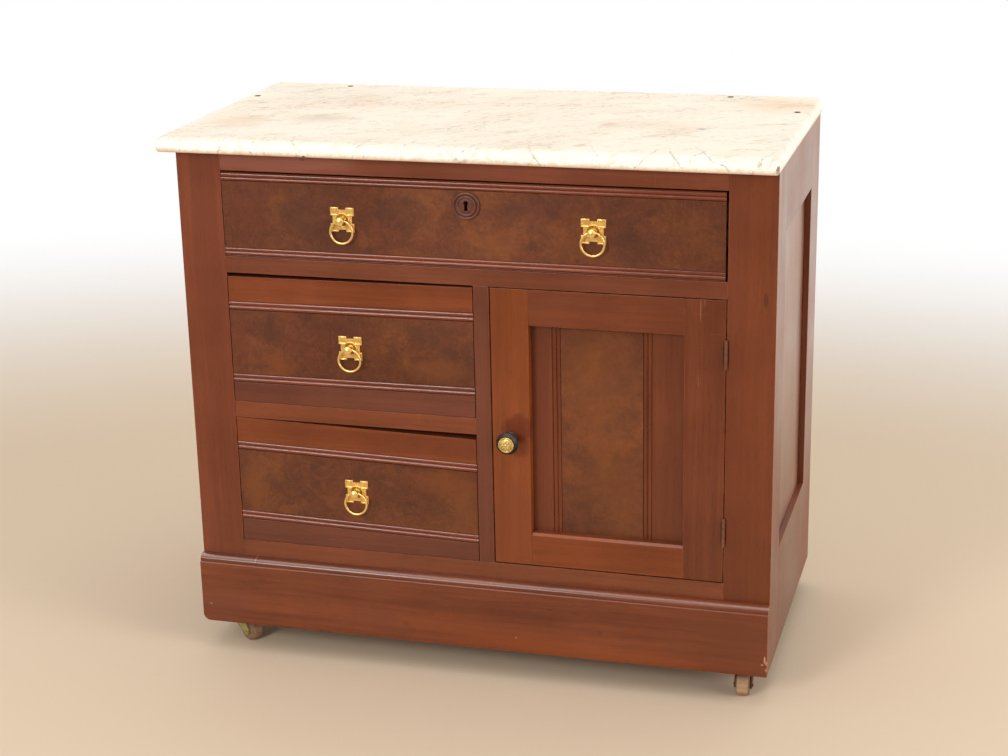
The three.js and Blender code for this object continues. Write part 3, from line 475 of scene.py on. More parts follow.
def straight_grain(name):
    """Grain along X: broad bands, growth lines, fibres and pores. Lengths are metres."""
    tree, given, made = new_group(
        name, {"Vector": "Vector", "Dark": "Color", "Light": "Color", "Wander": 0.02, "Figure": 1.0},
        {"Color": "Color", "Fibre": "Float", "Height": "Float"},
    )
    along = given["Vector"]
    wander = clouds(tree, stretch(tree, along, (2.4, 8.0, 8.0)), 1.0, 2.0)
    shift = times(tree, minus(tree, wander, 0.5), given["Wander"])
    drift = add(tree, "CombineXYZ", {"Y": shift, "Z": shift}).outputs[0]
    moved = add(tree, "VectorMath", {0: along, 1: drift}, operation="ADD").outputs[0]
    bands = clouds(tree, stretch(tree, moved, (1.1, 26.0, 26.0)), 1.0, 2.0)
    lines = clouds(tree, stretch(tree, moved, (4.0, 170.0, 170.0)), 1.0, 3.0, 0.6)
    fibres = clouds(tree, stretch(tree, moved, (22.0, 900.0, 900.0)), 1.0, 2.0)
    pores = spread(tree, clouds(tree, stretch(tree, moved, (60.0, 2200.0, 2200.0)), 1.0, 1.0), 0.6, 0.72)
    tone = plus(tree, times(tree, bands, 0.5), times(tree, lines, 0.38))
    tone = spread(tree, plus(tree, tone, times(tree, fibres, 0.12)), 0.37, 0.63)
    tone = plus(tree, 0.5, times(tree, minus(tree, tone, 0.5), given["Figure"]))
    colour = mix(tree, tone, given["Dark"], given["Light"])
    colour = mix(tree, times(tree, pores, 0.35), colour, (0.02, 0.01, 0.008))
    height = minus(tree, plus(tree, lines, fibres), pores)
    fill(tree, made, {"Color": colour, "Fibre": fibres, "Height": height})
    return tree


def burl_figure(name):
    """Swirling clouds of a burl, mottled, with scattered dark eyes."""
    tree, given, made = new_group(
        name, {"Vector": "Vector", "Shadow": "Color", "Body": "Color", "Amber": "Color"},
        {"Color": "Color", "Mottle": "Float"},
    )
    place = given["Vector"]
    warm = spread(tree, clouds(tree, place, 11.0, 3.0, 0.55, 1.2), 0.46, 0.66)
    dark = spread(tree, clouds(tree, stretch(tree, place, (1.0, 1.0, 1.5)), 15.0, 4.0, 0.6, 1.8), 0.5, 0.68)
    swirl = clouds(tree, place, 48.0, 6.0, 0.68, 1.8)
    mottle = clouds(tree, place, 260.0, 2.0, 0.6, 1.0)
    colour = mix(tree, times(tree, warm, 0.5), given["Body"], given["Amber"])
    colour = mix(tree, times(tree, dark, 0.4), colour, given["Shadow"])
    swirled = mix(tree, spread(tree, swirl, 0.38, 0.66), (0.87, 0.87, 0.87), (1.12, 1.1, 1.08))
    colour = mix(tree, 1.0, colour, swirled, "MULTIPLY")
    fine = mix(tree, spread(tree, mottle, 0.36, 0.64), (0.9, 0.9, 0.9), (1.08, 1.08, 1.08))
    colour = mix(tree, 1.0, colour, fine, "MULTIPLY")
    cells = add(tree, "TexVoronoi", {"Vector": place, "Scale": 85.0, "Randomness": 1.0}).outputs["Distance"]
    eyes = times(tree, spread(tree, cells, 0.16, 0.06), spread(tree, swirl, 0.5, 0.62))
    colour = mix(tree, times(tree, eyes, 0.55), colour, (0.03, 0.014, 0.009))
    fill(tree, made, {"Color": colour, "Mottle": mottle})
    return tree


def crossing_vein(name):
    """A wavering line that crosses X at a place, leaning with the height."""
    tree, given, made = new_group(
        name, {"Vector": "Vector", "Place": 0.0, "Lean": 0.0, "Width": 0.001}, {"Mask": "Float"}
    )
    parts = split(tree, given["Vector"])
    waver = minus(tree, clouds(tree, given["Vector"], 60.0, 6.0, 0.75), 0.5)
    away = plus(tree, minus(tree, parts["X"], given["Place"]), times(tree, waver, 0.024))
    depth = times(tree, plus(tree, parts["Y"], 0.19), 0.35)
    run = plus(tree, minus(tree, parts["Z"], 0.69), depth)
    away = calc(tree, "ABSOLUTE", minus(tree, away, times(tree, run, given["Lean"])))
    line = spread(tree, away, given["Width"], 0.0)
    broken = spread(tree, clouds(tree, given["Vector"], 110.0, 3.0, 0.6), 0.38, 0.6)
    front = spread(tree, parts["Y"], -0.13, -0.18)
    fill(tree, made, {"Mask": times(tree, line, times(tree, broken, front))})
    return tree


def soft_patch(name):
    """An oval round a spot that fades out at a ragged edge."""
    tree, given, made = new_group(
        name, {"Vector": "Vector", "Spot": "Vector", "Reach": "Vector", "Core": 0.2}, {"Mask": "Float"}
    )
    away = add(tree, "VectorMath", {0: given["Vector"], 1: given["Spot"]}, operation="SUBTRACT").outputs[0]
    away = add(tree, "VectorMath", {0: away, 1: given["Reach"]}, operation="DIVIDE").outputs[0]
    ragged = minus(tree, clouds(tree, away, 1.7, 3.0, 0.6), 0.5)
    distance = plus(tree, length_of(tree, away), times(tree, ragged, 0.9))
    fill(tree, made, {"Mask": spread(tree, distance, 1.0, given["Core"])})
    return tree


def old_polish(name):
    """Old shellac: cloudy tone, rubbed patches and fine scratches over a colour."""
    tree, given, made = new_group(
        name, {"Vector": "Vector", "Color": "Color", "Sheen": 0.34}, {"Color": "Color", "Roughness": "Float"}
    )
    place = given["Vector"]
    haze = clouds(tree, place, 5.5, 3.0, 0.55)
    tone = mix(tree, spread(tree, haze, 0.34, 0.66), (0.88, 0.88, 0.9), (1.1, 1.08, 1.05))
    colour = mix(tree, 1.0, given["Color"], tone, "MULTIPLY")
    hair = clouds(tree, stretch(tree, place, (900.0, 900.0, 16.0)), 1.0, 0.0)
    scratch = spread(tree, hair, 0.8, 0.84)
    scratch = times(tree, scratch, spread(tree, clouds(tree, place, 9.0, 1.0), 0.55, 0.7))
    pale = mix(tree, 0.5, colour, (0.42, 0.27, 0.2))
    colour = mix(tree, times(tree, scratch, 0.25), colour, pale)
    rubs = spread(tree, clouds(tree, place, 38.0, 3.0, 0.6), 0.66, 0.78)
    rough = plus(tree, given["Sheen"], spread(tree, haze, 0.3, 0.7, -0.05, 0.07))
    rough = plus(tree, rough, times(tree, rubs, 0.08))
    fill(tree, made, {"Color": colour, "Roughness": rough})
    return tree


def tarnish(name):
    """Brass dulled in spots: a brown and green film over the metal."""
    tree, given, made = new_group(
        name, {"Vector": "Vector", "Metal": "Color", "Film": "Color", "Amount": 0.5, "Polish": 0.3},
        {"Color": "Color", "Roughness": "Float", "Height": "Float"},
    )
    spots = clouds(tree, given["Vector"], 190.0, 4.0, 0.65)
    cover = spread(tree, plus(tree, spots, times(tree, given["Amount"], 0.5)), 0.55, 0.85)
    colour = mix(tree, times(tree, cover, given["Amount"]), given["Metal"], given["Film"])
    rough = plus(tree, given["Polish"], times(tree, cover, 0.25))
    fill(tree, made, {"Color": colour, "Roughness": rough, "Height": spots})
    return tree


# Finishes

GRAIN_TURNS = {"X": (0, 0, 0), "Y": (0, 0, -math.pi / 2), "Z": (0, math.pi / 2, 0)}


def new_finish(name, metallic=0.0, specular=0.5):
    """A material with its tree, its shader and the object's own coordinates."""
    finish = bpy.data.materials.new(name)
    finish.use_nodes = True
    tree = finish.node_tree
    shader = fill(tree, tree.nodes["Principled BSDF"], {"Metallic": metallic, "Specular IOR Level": specular})
    return finish, tree, shader, add(tree, "TexCoord").outputs["Object"]


def once(name, build, *values):
    """A finish that several pieces share, made the first time that it is asked for."""
    return bpy.data.materials.get(name) or build(*values)


def relief(tree, height, strength, depth):
    """The normal of a surface that is raised by a height, depth in mm."""
    return add(tree, "Bump", {"Height": height, "Strength": strength, "Distance": depth * MM}).outputs[0]


def laid(tree, place, axis, seed, step):
    """Coordinates with the grain along an axis, moved by a step for each seed, so that boards differ."""
    shift = tuple(part * seed for part in step)
    turned = add(tree, "Mapping", {"Vector": place, "Rotation": GRAIN_TURNS[axis], "Location": shift})
    return turned.outputs[0]


def marked(tree, place, colour, marks, core):
    """Lays soft spots over a colour: each with its place and reach in mm, its tone and its share."""
    for spot, reach, tone, share in marks:
        inputs = {"Vector": place, "Spot": Vector(spot) * MM, "Reach": Vector(reach) * MM, "Core": core}
        mask = times(tree, use(tree, soft_patch, inputs)["Mask"], share)
        colour = mix(tree, mask, colour, tone)
    return colour


def on_front(x, z, half_x, half_z, tone, share, y=-176):
    """A mark on a front face: its middle and its reach along X and Z in mm, its tone and its share."""
    return (x, y, z), (half_x, 60, half_z), tone, share


def hinge_shade_lines(x):
    """Painted shade: dark lines on the wood beside the two hinges, at x in mm."""
    leaves = [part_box(f"{end}_hinge_frame_leaf") for end in ("lower", "upper")]
    return [on_front(x, (low.z + high.z) / 2 / MM, 0.9, 20, srgb(44, 18, 12), 0.8) for low, high in leaves]


def board(
    name, axis, colour, seed, contrast=0.65, wander=0.02, sheen=0.34, specular=0.35, depth=0.2, marks=(),
    patches=(),
):
    """Polished walnut with its grain along an axis, its small marks and its broad patches."""
    finish, tree, shader, place = new_finish(name, specular=specular)
    turned = laid(tree, place, axis, seed, (1.7, 0.37, 0.61))
    grain = use(tree, straight_grain, {
        "Vector": turned, "Wander": wander, "Figure": contrast,
        "Dark": scaled(colour, (0.74, 0.68, 0.66)), "Light": scaled(colour, (1.2, 1.22, 1.2)),
    })
    polish = use(tree, old_polish, {"Vector": turned, "Color": grain["Color"], "Sheen": sheen})
    colour = marked(tree, place, polish["Color"], patches, 0.0)
    fill(tree, shader, {
        "Base Color": marked(tree, place, colour, marks, 0.6), "Roughness": polish["Roughness"],
        "Normal": relief(tree, grain["Height"], depth, 0.1),
    })
    return finish


def burl_veneer(name, wood, seed, patches=()):
    """Burl with its broad soft patches of colour: tone, middle and reach in mm, and share."""
    finish, tree, shader, place = new_finish(name, specular=0.3)
    moved = laid(tree, place, "X", seed, (0.9, 0, 0.53))
    burl = use(tree, burl_figure, {
        "Vector": moved, "Shadow": wood.burl_shadow, "Body": wood.burl_body, "Amber": wood.burl_amber,
    })
    tones = {
        "amber": scaled(wood.burl_amber, (1.12, 1.12, 1.05)),
        "orange": scaled(wood.burl_amber, (1.2, 1.05, 0.9)),
        "red": scaled(wood.burl_body, (1.15, 0.95, 1.0)), "green": scaled(wood.burl_shadow, (1.1, 1.25, 0.8)),
        "dark": wood.burl_shadow, "purple": scaled(wood.burl_shadow, (1.3, 0.95, 1.25)),
    }
    spots = [
        ((x, 0, z), (wide, 900, high), tones[tone], share) for tone, x, z, wide, high, share in patches
    ]
    colour = marked(tree, place, burl["Color"], spots, 0.0)
    polish = use(tree, old_polish, {"Vector": moved, "Color": colour, "Sheen": 0.36})
    fill(tree, shader, {
        "Base Color": polish["Color"], "Roughness": polish["Roughness"],
        "Normal": relief(tree, burl["Mottle"], 0.1, 0.08),
    })
    return finish


def rubbed_edge(wood):
    """Edges worn through to a paler, drier wood."""
    finish, tree, shader, place = new_finish("rubbed_edge")
    wear_and_shade = spread(tree, clouds(tree, place, 60.0, 3.0, 0.6), 0.36, 0.64)
    colour = mix(tree, wear_and_shade, scaled(wood.red_walnut, 0.85), scaled(wood.orange_walnut, (1.35, 1.4, 1.5)))
    fill(tree, shader, {"Base Color": colour, "Roughness": 0.42})
    return finish


def bare_wood(name, axis, colour, seed):
    """Unfinished wood, aged and a little dusty."""
    finish, tree, shader, place = new_finish(name, specular=0.2)
    turned = laid(tree, place, axis, seed, (2.3, 0.41, 0.29))
    grain = use(tree, straight_grain, {
        "Vector": turned, "Wander": 0.03, "Figure": 0.9,
        "Dark": scaled(colour, (0.7, 0.62, 0.55)), "Light": scaled(colour, 1.15),
    })
    stain = spread(tree, clouds(tree, stretch(tree, turned, (0.4, 1.0, 1.0)), 7.0, 5.0, 0.65), 0.44, 0.74)
    colour = mix(tree, times(tree, stain, 0.35), grain["Color"], scaled(colour, (0.5, 0.42, 0.36)))
    fill(tree, shader, {
        "Base Color": colour, "Roughness": spread(tree, grain["Fibre"], 0.3, 0.7, 0.62, 0.8),
        "Normal": relief(tree, grain["Height"], 0.4, 0.2),
    })
    return finish


def marble_stone(stone, low, high):
    """Cream marble: tan clouds and streaks, grey dashes, and veins that cross the front edge."""
    finish, tree, shader, place = new_finish("marble", specular=0.3)
    turned = add(tree, "Mapping", {"Vector": place, "Rotation": (0, 0, math.radians(-30))}).outputs[0]
    cream, tan, grey = stone.cream, stone.tan_vein, stone.grey_vein

    # Clouds, streaks and flecks of the top
    drawn = stretch(tree, turned, (1.0, 2.0, 1.5))
    smoke = spread(tree, clouds(tree, drawn, 3.6, 6.0, 0.64, 0.5), 0.44, 0.7)
    streaks = spread(tree, clouds(tree, drawn, 22.0, 9.0, 0.78, 0.8), 0.52, 0.68)
    colour = mix(tree, times(tree, smoke, 0.4), cream, tan)
    colour = mix(tree, times(tree, streaks, 0.75), colour, scaled(tan, 0.8))
    clouded = [
        ((-227, -44, 701), (60, 42, 20), scaled(tan, 0.72), 0.45), ((-209, 91, 701), (50, 50, 20), tan, 0.35),
        ((-325, -80, 701), (60, 60, 20), tan, 0.5), ((200, -20, 701), (120, 50, 20), tan, 0.3),
        ((350, 140, 701), (90, 70, 20), scaled(tan, (1.0, 0.92, 0.72)), 0.5),
        ((-30, -70, 701), (130, 60, 20), cream, 0.5),
    ]
    colour = marked(tree, place, colour, clouded, 0.1)
    crowded = clouds(tree, stretch(tree, turned, (1.0, 1.6, 1.0)), 9.0, 5.0, 0.65, 1.0)
    flecks = clouds(tree, stretch(tree, turned, (1.0, 2.0, 1.0)), 90.0, 6.0, 0.8, 1.2)
    flecks = times(tree, spread(tree, flecks, 0.51, 0.64), spread(tree, crowded, 0.46, 0.62, 0.12))
    colour = mix(tree, times(tree, flecks, 0.7), colour, scaled(tan, (0.62, 0.64, 0.66)))
    dashes = clouds(tree, stretch(tree, turned, (1.0, 3.4, 1.0)), 85.0, 2.0, 0.6, 0.6)
    dashes = times(tree, spread(tree, dashes, 0.59, 0.67), spread(tree, smoke, 0.0, 0.7))
    colour = mix(tree, times(tree, dashes, 0.8), colour, scaled(grey, 0.9))

    # The edge, painted paler as painted light, with its blotches and veins
    roll, foot = painted_light_edge(tree, place, low, high)
    colour = mix(tree, times(tree, roll, 0.96), colour, scaled(cream, (1.18, 1.29, 1.45)))
    blotches = times(tree, spread(tree, clouds(tree, place, 80.0, 5.0, 0.7, 0.5), 0.52, 0.66), roll)
    colour = mix(tree, times(tree, blotches, 0.34), colour, scaled(tan, (0.96, 1.0, 1.1)))
    lines = [
        (-302, 0.6, 2.0), (-204, -0.4, 1.8), (-125, 0.7, 2.0), (-65, 0.3, 1.8), (8, 0.9, 2.2),
        (100, -0.7, 2.4), (180, -0.9, 2.2), (228, 0.9, 2.0), (272, -0.8, 2.6), (284, 0.8, 2.0),
        (322, -1.4, 2.6), (366, 0.6, 2.0),
    ]
    veins = 0.0
    for spot, lean, width in lines:
        inputs = {"Vector": place, "Place": spot * MM, "Lean": lean, "Width": width * MM}
        veins = most(tree, veins, use(tree, crossing_vein, inputs)["Mask"])
    colour = mix(tree, times(tree, veins, 0.7), colour, grey)
    # The lower arris darker tan: partly stain, partly painted shade.
    colour = mix(tree, times(tree, foot, 0.45), colour, scaled(tan, (1.0, 0.78, 0.62)))
    stains = [
        ((392, -195, 686), (5, 5, 9), srgb(120, 78, 44), 0.8), ((-372, -190, 684), (24, 12, 5), tan, 0.7),
        ((272, -34, 701), (9, 7, 4), grey, 0.8),
    ]
    fill(tree, shader, {
        "Base Color": marked(tree, place, colour, stains, 0.3),
        "Roughness": spread(tree, clouds(tree, place, 14.0, 3.0), 0.3, 0.7, 0.5, 0.62),
        "Normal": relief(tree, most(tree, veins, dashes), -0.1, 0.1),
    })
    return finish


def painted_light_edge(tree, place, low, high):
    """Shares of the slab's edge on the front and the sides, which is painted paler as painted light, and of
    its lower arris on the front.
    """
    parts = split(tree, place)
    ragged = times(tree, minus(tree, clouds(tree, place, 90.0, 4.0, 0.6), 0.5), 8 * MM)
    rise = plus(tree, minus(tree, parts["Z"], low.z), ragged)
    front = spread(tree, parts["Y"], low.y + 13 * MM, low.y + 5 * MM)
    side = spread(tree, calc(tree, "ABSOLUTE", parts["X"]), high.x - 7 * MM, high.x - 3 * MM)
    rounded = times(tree, spread(tree, rise, 3 * MM, 8 * MM), most(tree, front, side))
    roll = times(tree, rounded, spread(tree, rise, 21 * MM, 11 * MM))
    return roll, times(tree, spread(tree, rise, 5 * MM, 1 * MM), front)


def broken_stone(stone):
    """Sugary grain of broken marble, stained brown."""
    finish, tree, shader, place = new_finish("broken_marble", specular=0.4)
    dirt_and_shade = spread(tree, clouds(tree, place, 130.0, 4.0, 0.65), 0.35, 0.65)
    fill(tree, shader, {
        "Base Color": mix(tree, dirt_and_shade, srgb(168, 122, 84), scaled(stone.cream, 0.8)), "Roughness": 0.75,
        "Normal": relief(tree, clouds(tree, place, 900.0, 2.0), 0.6, 0.4),
    })
    return finish


def hollow_shade(name, colour):
    """Painted shade: a dull, patchy dark colour inside holes."""
    finish, tree, shader, place = new_finish(name, specular=0.15)
    patchy = spread(tree, clouds(tree, place, 300.0, 3.0, 0.6), 0.35, 0.65)
    colour = mix(tree, patchy, scaled(colour, 0.6), scaled(colour, 1.3))
    fill(tree, shader, {"Base Color": colour, "Roughness": 0.9})
    return finish


def brass(name, metal, film, amount, polish, metallic=1.0, grain=0.1):
    """Cast or rolled metal under a film of tarnish."""
    finish, tree, shader, place = new_finish(name, metallic=metallic)
    skin = use(tree, tarnish, {
        "Vector": place, "Metal": metal, "Film": film, "Amount": amount, "Polish": polish,
    })
    fill(tree, shader, {
        "Base Color": skin["Color"], "Roughness": skin["Roughness"],
        "Normal": relief(tree, skin["Height"], grain, 0.1),
    })
    return finish


def dark_iron(metal):
    return brass("dark_iron", metal.iron, srgb(92, 58, 40), 0.7, 0.42)


def turned_finish(name, colour, sheen, specular=0.45):
    """Turned wood: grain across the face, darkened, with a low polish."""
    finish, tree, shader, place = new_finish(name, specular=specular)
    grain = use(tree, straight_grain, {
        "Vector": place, "Wander": 0.01, "Figure": 0.8,
        "Dark": scaled(colour, 0.7), "Light": scaled(colour, 1.3),
    })
    polish = use(tree, old_polish, {"Vector": place, "Color": grain["Color"], "Sheen": sheen})
    fill(tree, shader, {
        "Base Color": polish["Color"], "Roughness": polish["Roughness"],
        "Normal": relief(tree, grain["Height"], 0.15, 0.1),
    })
    return finish


# Operators

class WASHSTAND_OT_stage(bpy.types.Operator):
    """Floor, soft studio light and the camera"""
    bl_idname = "washstand.stage"
    bl_label = "Stage"

    def execute(self, context):
        view = context.scene.washstand_view
        self.floor(view)
        self.world(context.scene)
        self.lamp("key", (-1.2, -3.1, 1.7), (0, 0, 0.35), 1.2, view.key_power)
        self.lamp("fill", (3.0, -0.9, 1.6), (0, 0, 0.35), 1.8, view.fill_power)
        self.lamp("top", (0.1, 0.3, 3.0), (0, 0, 0.5), 2.2, view.top_power)
        self.camera(context.scene, view)
        return {"FINISHED"}

    def floor(self, view):
        """A plain floor that keeps the shadow close by and fades to white far away"""
        take(None)
        bpy.ops.mesh.primitive_plane_add(size=40)
        floor = named("floor")
        finish, tree, shader, place = new_finish("floor", specular=0.2)
        fill(tree, shader, {"Base Color": view.floor, "Roughness": 0.7})
        distance = length_of(tree, stretch(tree, place, (0.7, 1.0, 0.0)))
        straight, mirrored = ray_kinds(tree)
        seen = times(tree, spread(tree, distance, 0.75, 2.3), straight)
        bright = times(tree, spread(tree, distance, 0.5, 1.5), mirrored)
        behind = spread(tree, split(tree, place)["Y"], -0.2, 0.7)
        glow = mix(tree, spread(tree, distance, 0.7, 2.0), (1.25, 1.08, 0.86), (1.4, 1.3, 1.17))
        colour = mix(tree, behind, (0.3, 0.25, 0.21), glow)
        colour = mix(tree, mirrored, (1, 1, 1), colour)
        white = add(tree, "Emission", {"Color": colour, "Strength": 1.0}).outputs[0]
        blend = add(tree, "MixShader", {0: most(tree, seen, bright), 1: shader.outputs[0], 2: white})
        fill(tree, tree.nodes["Material Output"], {"Surface": blend.outputs[0]})
        floor.data.materials.append(finish)

    def world(self, scene):
        """White to the camera, brighter behind and overhead to reflections, even as light"""
        scene.world = scene.world or bpy.data.worlds.new("studio")
        scene.world.use_nodes = True
        tree = scene.world.node_tree
        direction = split(tree, add(tree, "TexCoord").outputs["Generated"])
        behind = spread(tree, direction["Y"], -0.6, 0.3, 0.4, 1.4)
        around = plus(tree, behind, spread(tree, direction["Z"], 0.6, 0.9, 0.0, 4.5))
        straight, mirrored = ray_kinds(tree)
        strength = plus(tree, straight, times(tree, mirrored, around))
        lighting = minus(tree, 1.0, most(tree, straight, mirrored))
        fill(tree, tree.nodes["Background"], {
            "Color": mix(tree, mirrored, (1, 1, 1), (1.0, 0.96, 0.91)),
            "Strength": plus(tree, strength, times(tree, lighting, 0.55)),
        })

    def lamp(self, name, place, target, size, power):
        """A round soft light turned towards a target"""
        lamp = bpy.data.objects.new(name, bpy.data.lights.new(name, "AREA"))
        lamp.data.shape = "DISK"
        lamp.data.size = size
        lamp.data.energy = power
        lamp.location = place
        lamp.rotation_euler = (Vector(target) - Vector(place)).to_track_quat("-Z", "Y").to_euler()
        lamp.visible_glossy = name != "top"
        bpy.context.scene.collection.objects.link(lamp)

    def camera(self, scene, view):
        """The camera, turned, raised and rolled as the view says"""
        camera = bpy.data.objects.new("camera", bpy.data.cameras.new("camera"))
        scene.collection.objects.link(camera)
        camera.data.lens = view.focal
        camera.data.sensor_width = 36
        level = math.cos(view.elevation)
        back = Vector((
            math.sin(view.azimuth) * level, -math.cos(view.azimuth) * level, math.sin(view.elevation),
        ))
        right = Vector((math.cos(view.azimuth), math.sin(view.azimuth), 0))
        up = back.cross(right)
        across = right * math.cos(view.roll) + up * math.sin(view.roll)
        upward = up * math.cos(view.roll) - right * math.sin(view.roll)
        turn = Matrix((across, upward, back)).transposed()
        camera.matrix_world = Matrix.Translation(view.place) @ turn.to_4x4()
        scene.camera = camera


class WASHSTAND_OT_case(bpy.types.Operator):
    """Posts, rails, sides and plinth, each board with its own grain"""
    bl_idname = "washstand.case"
    bl_label = "Case"

    def execute(self, context):
        wood = context.scene.washstand_wood
        red, purple = wood.red_walnut, wood.purple_walnut
        knot = on_front(376, 526, 3.6, 11, srgb(58, 26, 18), 0.45)
        # Painted reflection: a paler, pinker haze over the left half of the top rail.
        painted_sheen = on_front(-250, 672, 150, 20, scaled(red, (1.7, 2.5, 5.0)), 0.5)
        nick = on_front(-203, 674, 4, 1.5, srgb(60, 26, 20), 0.5)
        tick = ((-295, -185, 133), (0.9, 40, 5), srgb(204, 150, 130), 0.3)
        # The knot, and painted shade lines beside the hinges.
        wear_and_shade = [knot, *hinge_shade_lines(332.4)]
        posts = [
            ("front_post_left", "post_left", scaled(red, (1.1, 1.08, 1.1)), -1, 1, []),
            ("front_post_right", "post_right", scaled(red, (1.03, 0.98, 0.78)), 1, 2, wear_and_shade),
        ]
        for node, name, colour, sign, seed, marks in posts:
            piece = copy_of(node, name)
            side = board(f"{name}_side", "Z", colour, seed, specular=0.62)
            self.finish(piece, wood, board(name, "Z", colour, seed, contrast=0.5, marks=marks), side, sign)
            fit(piece, "case", "walnut", node)
        boards = [
            ("top_rail", "rail_top", "X", scaled(red, (1.14, 1.16, 1.2)), 3, [painted_sheen, nick]),
            ("middle_rail", "rail_middle", "X", scaled(red, (1.02, 1.08, 1.2)), 4, []),
            ("drawer_rail", "rail_drawers", "X", scaled(red, (1.12, 1.14, 1.1)), 5, []),
            ("bottom_rail", "rail_bottom", "X", scaled(red, (1.1, 1.2, 1.3)), 6, []),
            ("divider_stile", "stile_divider", "Z", scaled(purple, 1.08), 7, []),
            ("plinth_moulding", "moulding_plinth", "X", red, 9, [tick]),
        ]
        for node, name, axis, colour, seed, marks in boards:
            piece = copy_of(node, name)
            polish = {"sheen": 0.24, "specular": 0.5, "depth": 0.05} if node == "plinth_moulding" else {}
            self.finish(piece, wood, board(name, axis, colour, seed, marks=marks, **polish))
            fit(piece, "case", "walnut", node)
        self.plinth(wood)
        for side, sign in (("left", -1), ("right", 1)):
            self.side(side, sign, wood)
        return {"FINISHED"}

    def finish(self, piece, wood, main, side=None, sign=0):
        """Eases a board, and gives its outer side a finish of its own where it has one"""
        finishes = [main, once("rubbed_edge", rubbed_edge, wood)] + ([side] if side else [])
        paint(piece, *finishes, zone=lambda face: 2 if face.normal.x * sign > 0.9 else 0)
        ease(piece, wood.arris, rubbed=1)
        smooth(piece)

    def plinth(self, wood):
        """Plinth board with its patches, nicks and broken corner"""
        piece = copy_of("plinth_board", "board_plinth")
        colour = scaled(wood.red_walnut, (1.06, 1.06, 1.0))
        pink = srgb(205, 150, 125)
        dark, purple = scaled(wood.purple_walnut, 0.6), scaled(wood.purple_walnut, 1.1)
        orange = scaled(wood.orange_walnut, (1.05, 0.97, 0.9))
        brown = scaled(wood.red_walnut, (0.82, 0.86, 0.8))
        marks = [
            (64, 60, 2, 1.2, pink, 0.4), (-361, 65, 2, 1, pink, 0.6), (386, 64, 1.5, 6, pink, 0.7),
            (383, 57, 2, 1.4, pink, 0.6),
        ]
        dapples = [
            (-285, 107), (-296, 95), (-166, 119), (-85, 64), (-50, 83), (80, 109), (109, 104), (175, 78),
        ]
        marks += [(x, z, 4 + z % 3, 5 - z % 3, dark, 0.3) for x, z in dapples]
        marks = [on_front(*mark, y=-191) for mark in marks]
        patches = [
            (-345, 66, 70, 34, purple, 0.7), (-128, 68, 60, 16, purple, 0.5),
            (-150, 108, 70, 20, purple, 0.4), (-20, 76, 90, 24, orange, 0.4),
            (80, 50, 170, 30, orange, 0.7), (240, 44, 130, 22, orange, 0.6), (350, 90, 130, 60, brown, 0.8),
        ]
        patches = [on_front(*patch, y=-191) for patch in patches]
        front = board("board_plinth", "X", colour, 8, 0.95, 0.035, marks=marks, patches=patches)
        side = board("board_plinth_end", "X", colour, 8, specular=0.6)
        self.finish(piece, wood, front, side, 1)
        low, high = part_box("plinth_board")
        corner = Vector((high.x, low.y, low.z))
        pale = bare_wood("chipped_wood", "X", srgb(186, 128, 92), 3)
        for rise, size, seed in ((20, (2.2, 2.0, 3.4), 2.0), (10.5, (2.6, 2.2, 2.6), 5.0)):
            tool = lump(corner + Z * rise * MM, [part * MM for part in size], seed, pale)
            carve(piece, tool)
        fit(piece, "case", "walnut", "plinth_board")

    def side(self, side, sign, wood):
        """Splits one side into its stiles, rails and inner blocks, and finishes its panel"""
        node = f"side_frame_{side}"
        low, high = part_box(node)
        panel_low, panel_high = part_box(f"side_panel_{side}")
        tongue = 7.7 * MM
        front, rear = panel_low.y + tongue, panel_high.y - tongue
        middle = (low.z + high.z) / 2
        outer = high.x if sign > 0 else low.x
        frame_thickness = 22 * MM
        inner_face = Vector((outer - sign * (frame_thickness + NEAR), 0, 0))
        out = X * sign
        slip = 0.05 * MM
        ahead, behind = Vector((0, front + slip, 0)), Vector((0, rear - slip, 0))
        cuts = {
            "stile_front": ("Z", [(ahead, Y)]),
            "stile_rear": ("Z", [(behind, -Y)]),
            "rail_top": ("Y", [(ahead, -Y), (behind, Y), (Z * middle, -Z)]),
            "rail_bottom": ("Y", [(ahead, -Y), (behind, Y), (Z * middle, Z)]),
        }
        for seed, (member, (axis, planes)) in enumerate(cuts.items()):
            piece = trim(copy_of(node, f"side_{member}_{side}"), inner_face, -out)
            for point, away in planes:
                trim(piece, point, away)
            self.settle(piece, (ahead.y, front), (behind.y, rear))
            colour = scaled(wood.red_walnut, 0.96 + 0.05 * (seed % 2))
            shade = 20 + seed + 7 * (sign > 0)
            self.finish(piece, wood, board(piece.name, axis, colour, shade, specular=0.55))
            fit(piece, "case", "walnut", node)
        blocks = trim(copy_of(node, f"side_blocks_{side}"), inner_face, out)
        poplar = bare_wood(blocks.name, "Z", wood.poplar, 31 + sign)
        smooth(ease(paint(blocks, poplar), wood.arris))
        fit(blocks, "case", "poplar", node)
        panel = copy_of(f"side_panel_{side}", f"panel_side_{side}")
        tone = scaled(wood.red_walnut, (1.1, 1.5, 1.9))
        self.finish(panel, wood, board(panel.name, "Z", tone, 40 + sign, specular=1.0))
        fit(panel, "case", "walnut", f"side_panel_{side}")

    def settle(self, piece, *moves):
        """Takes the cut ends back to the line of the opening"""
        for point in piece.data.vertices:
            for start, end in moves:
                if abs(point.co.y - start) < 0.01 * MM:
                    point.co.y = end
        merged(piece)


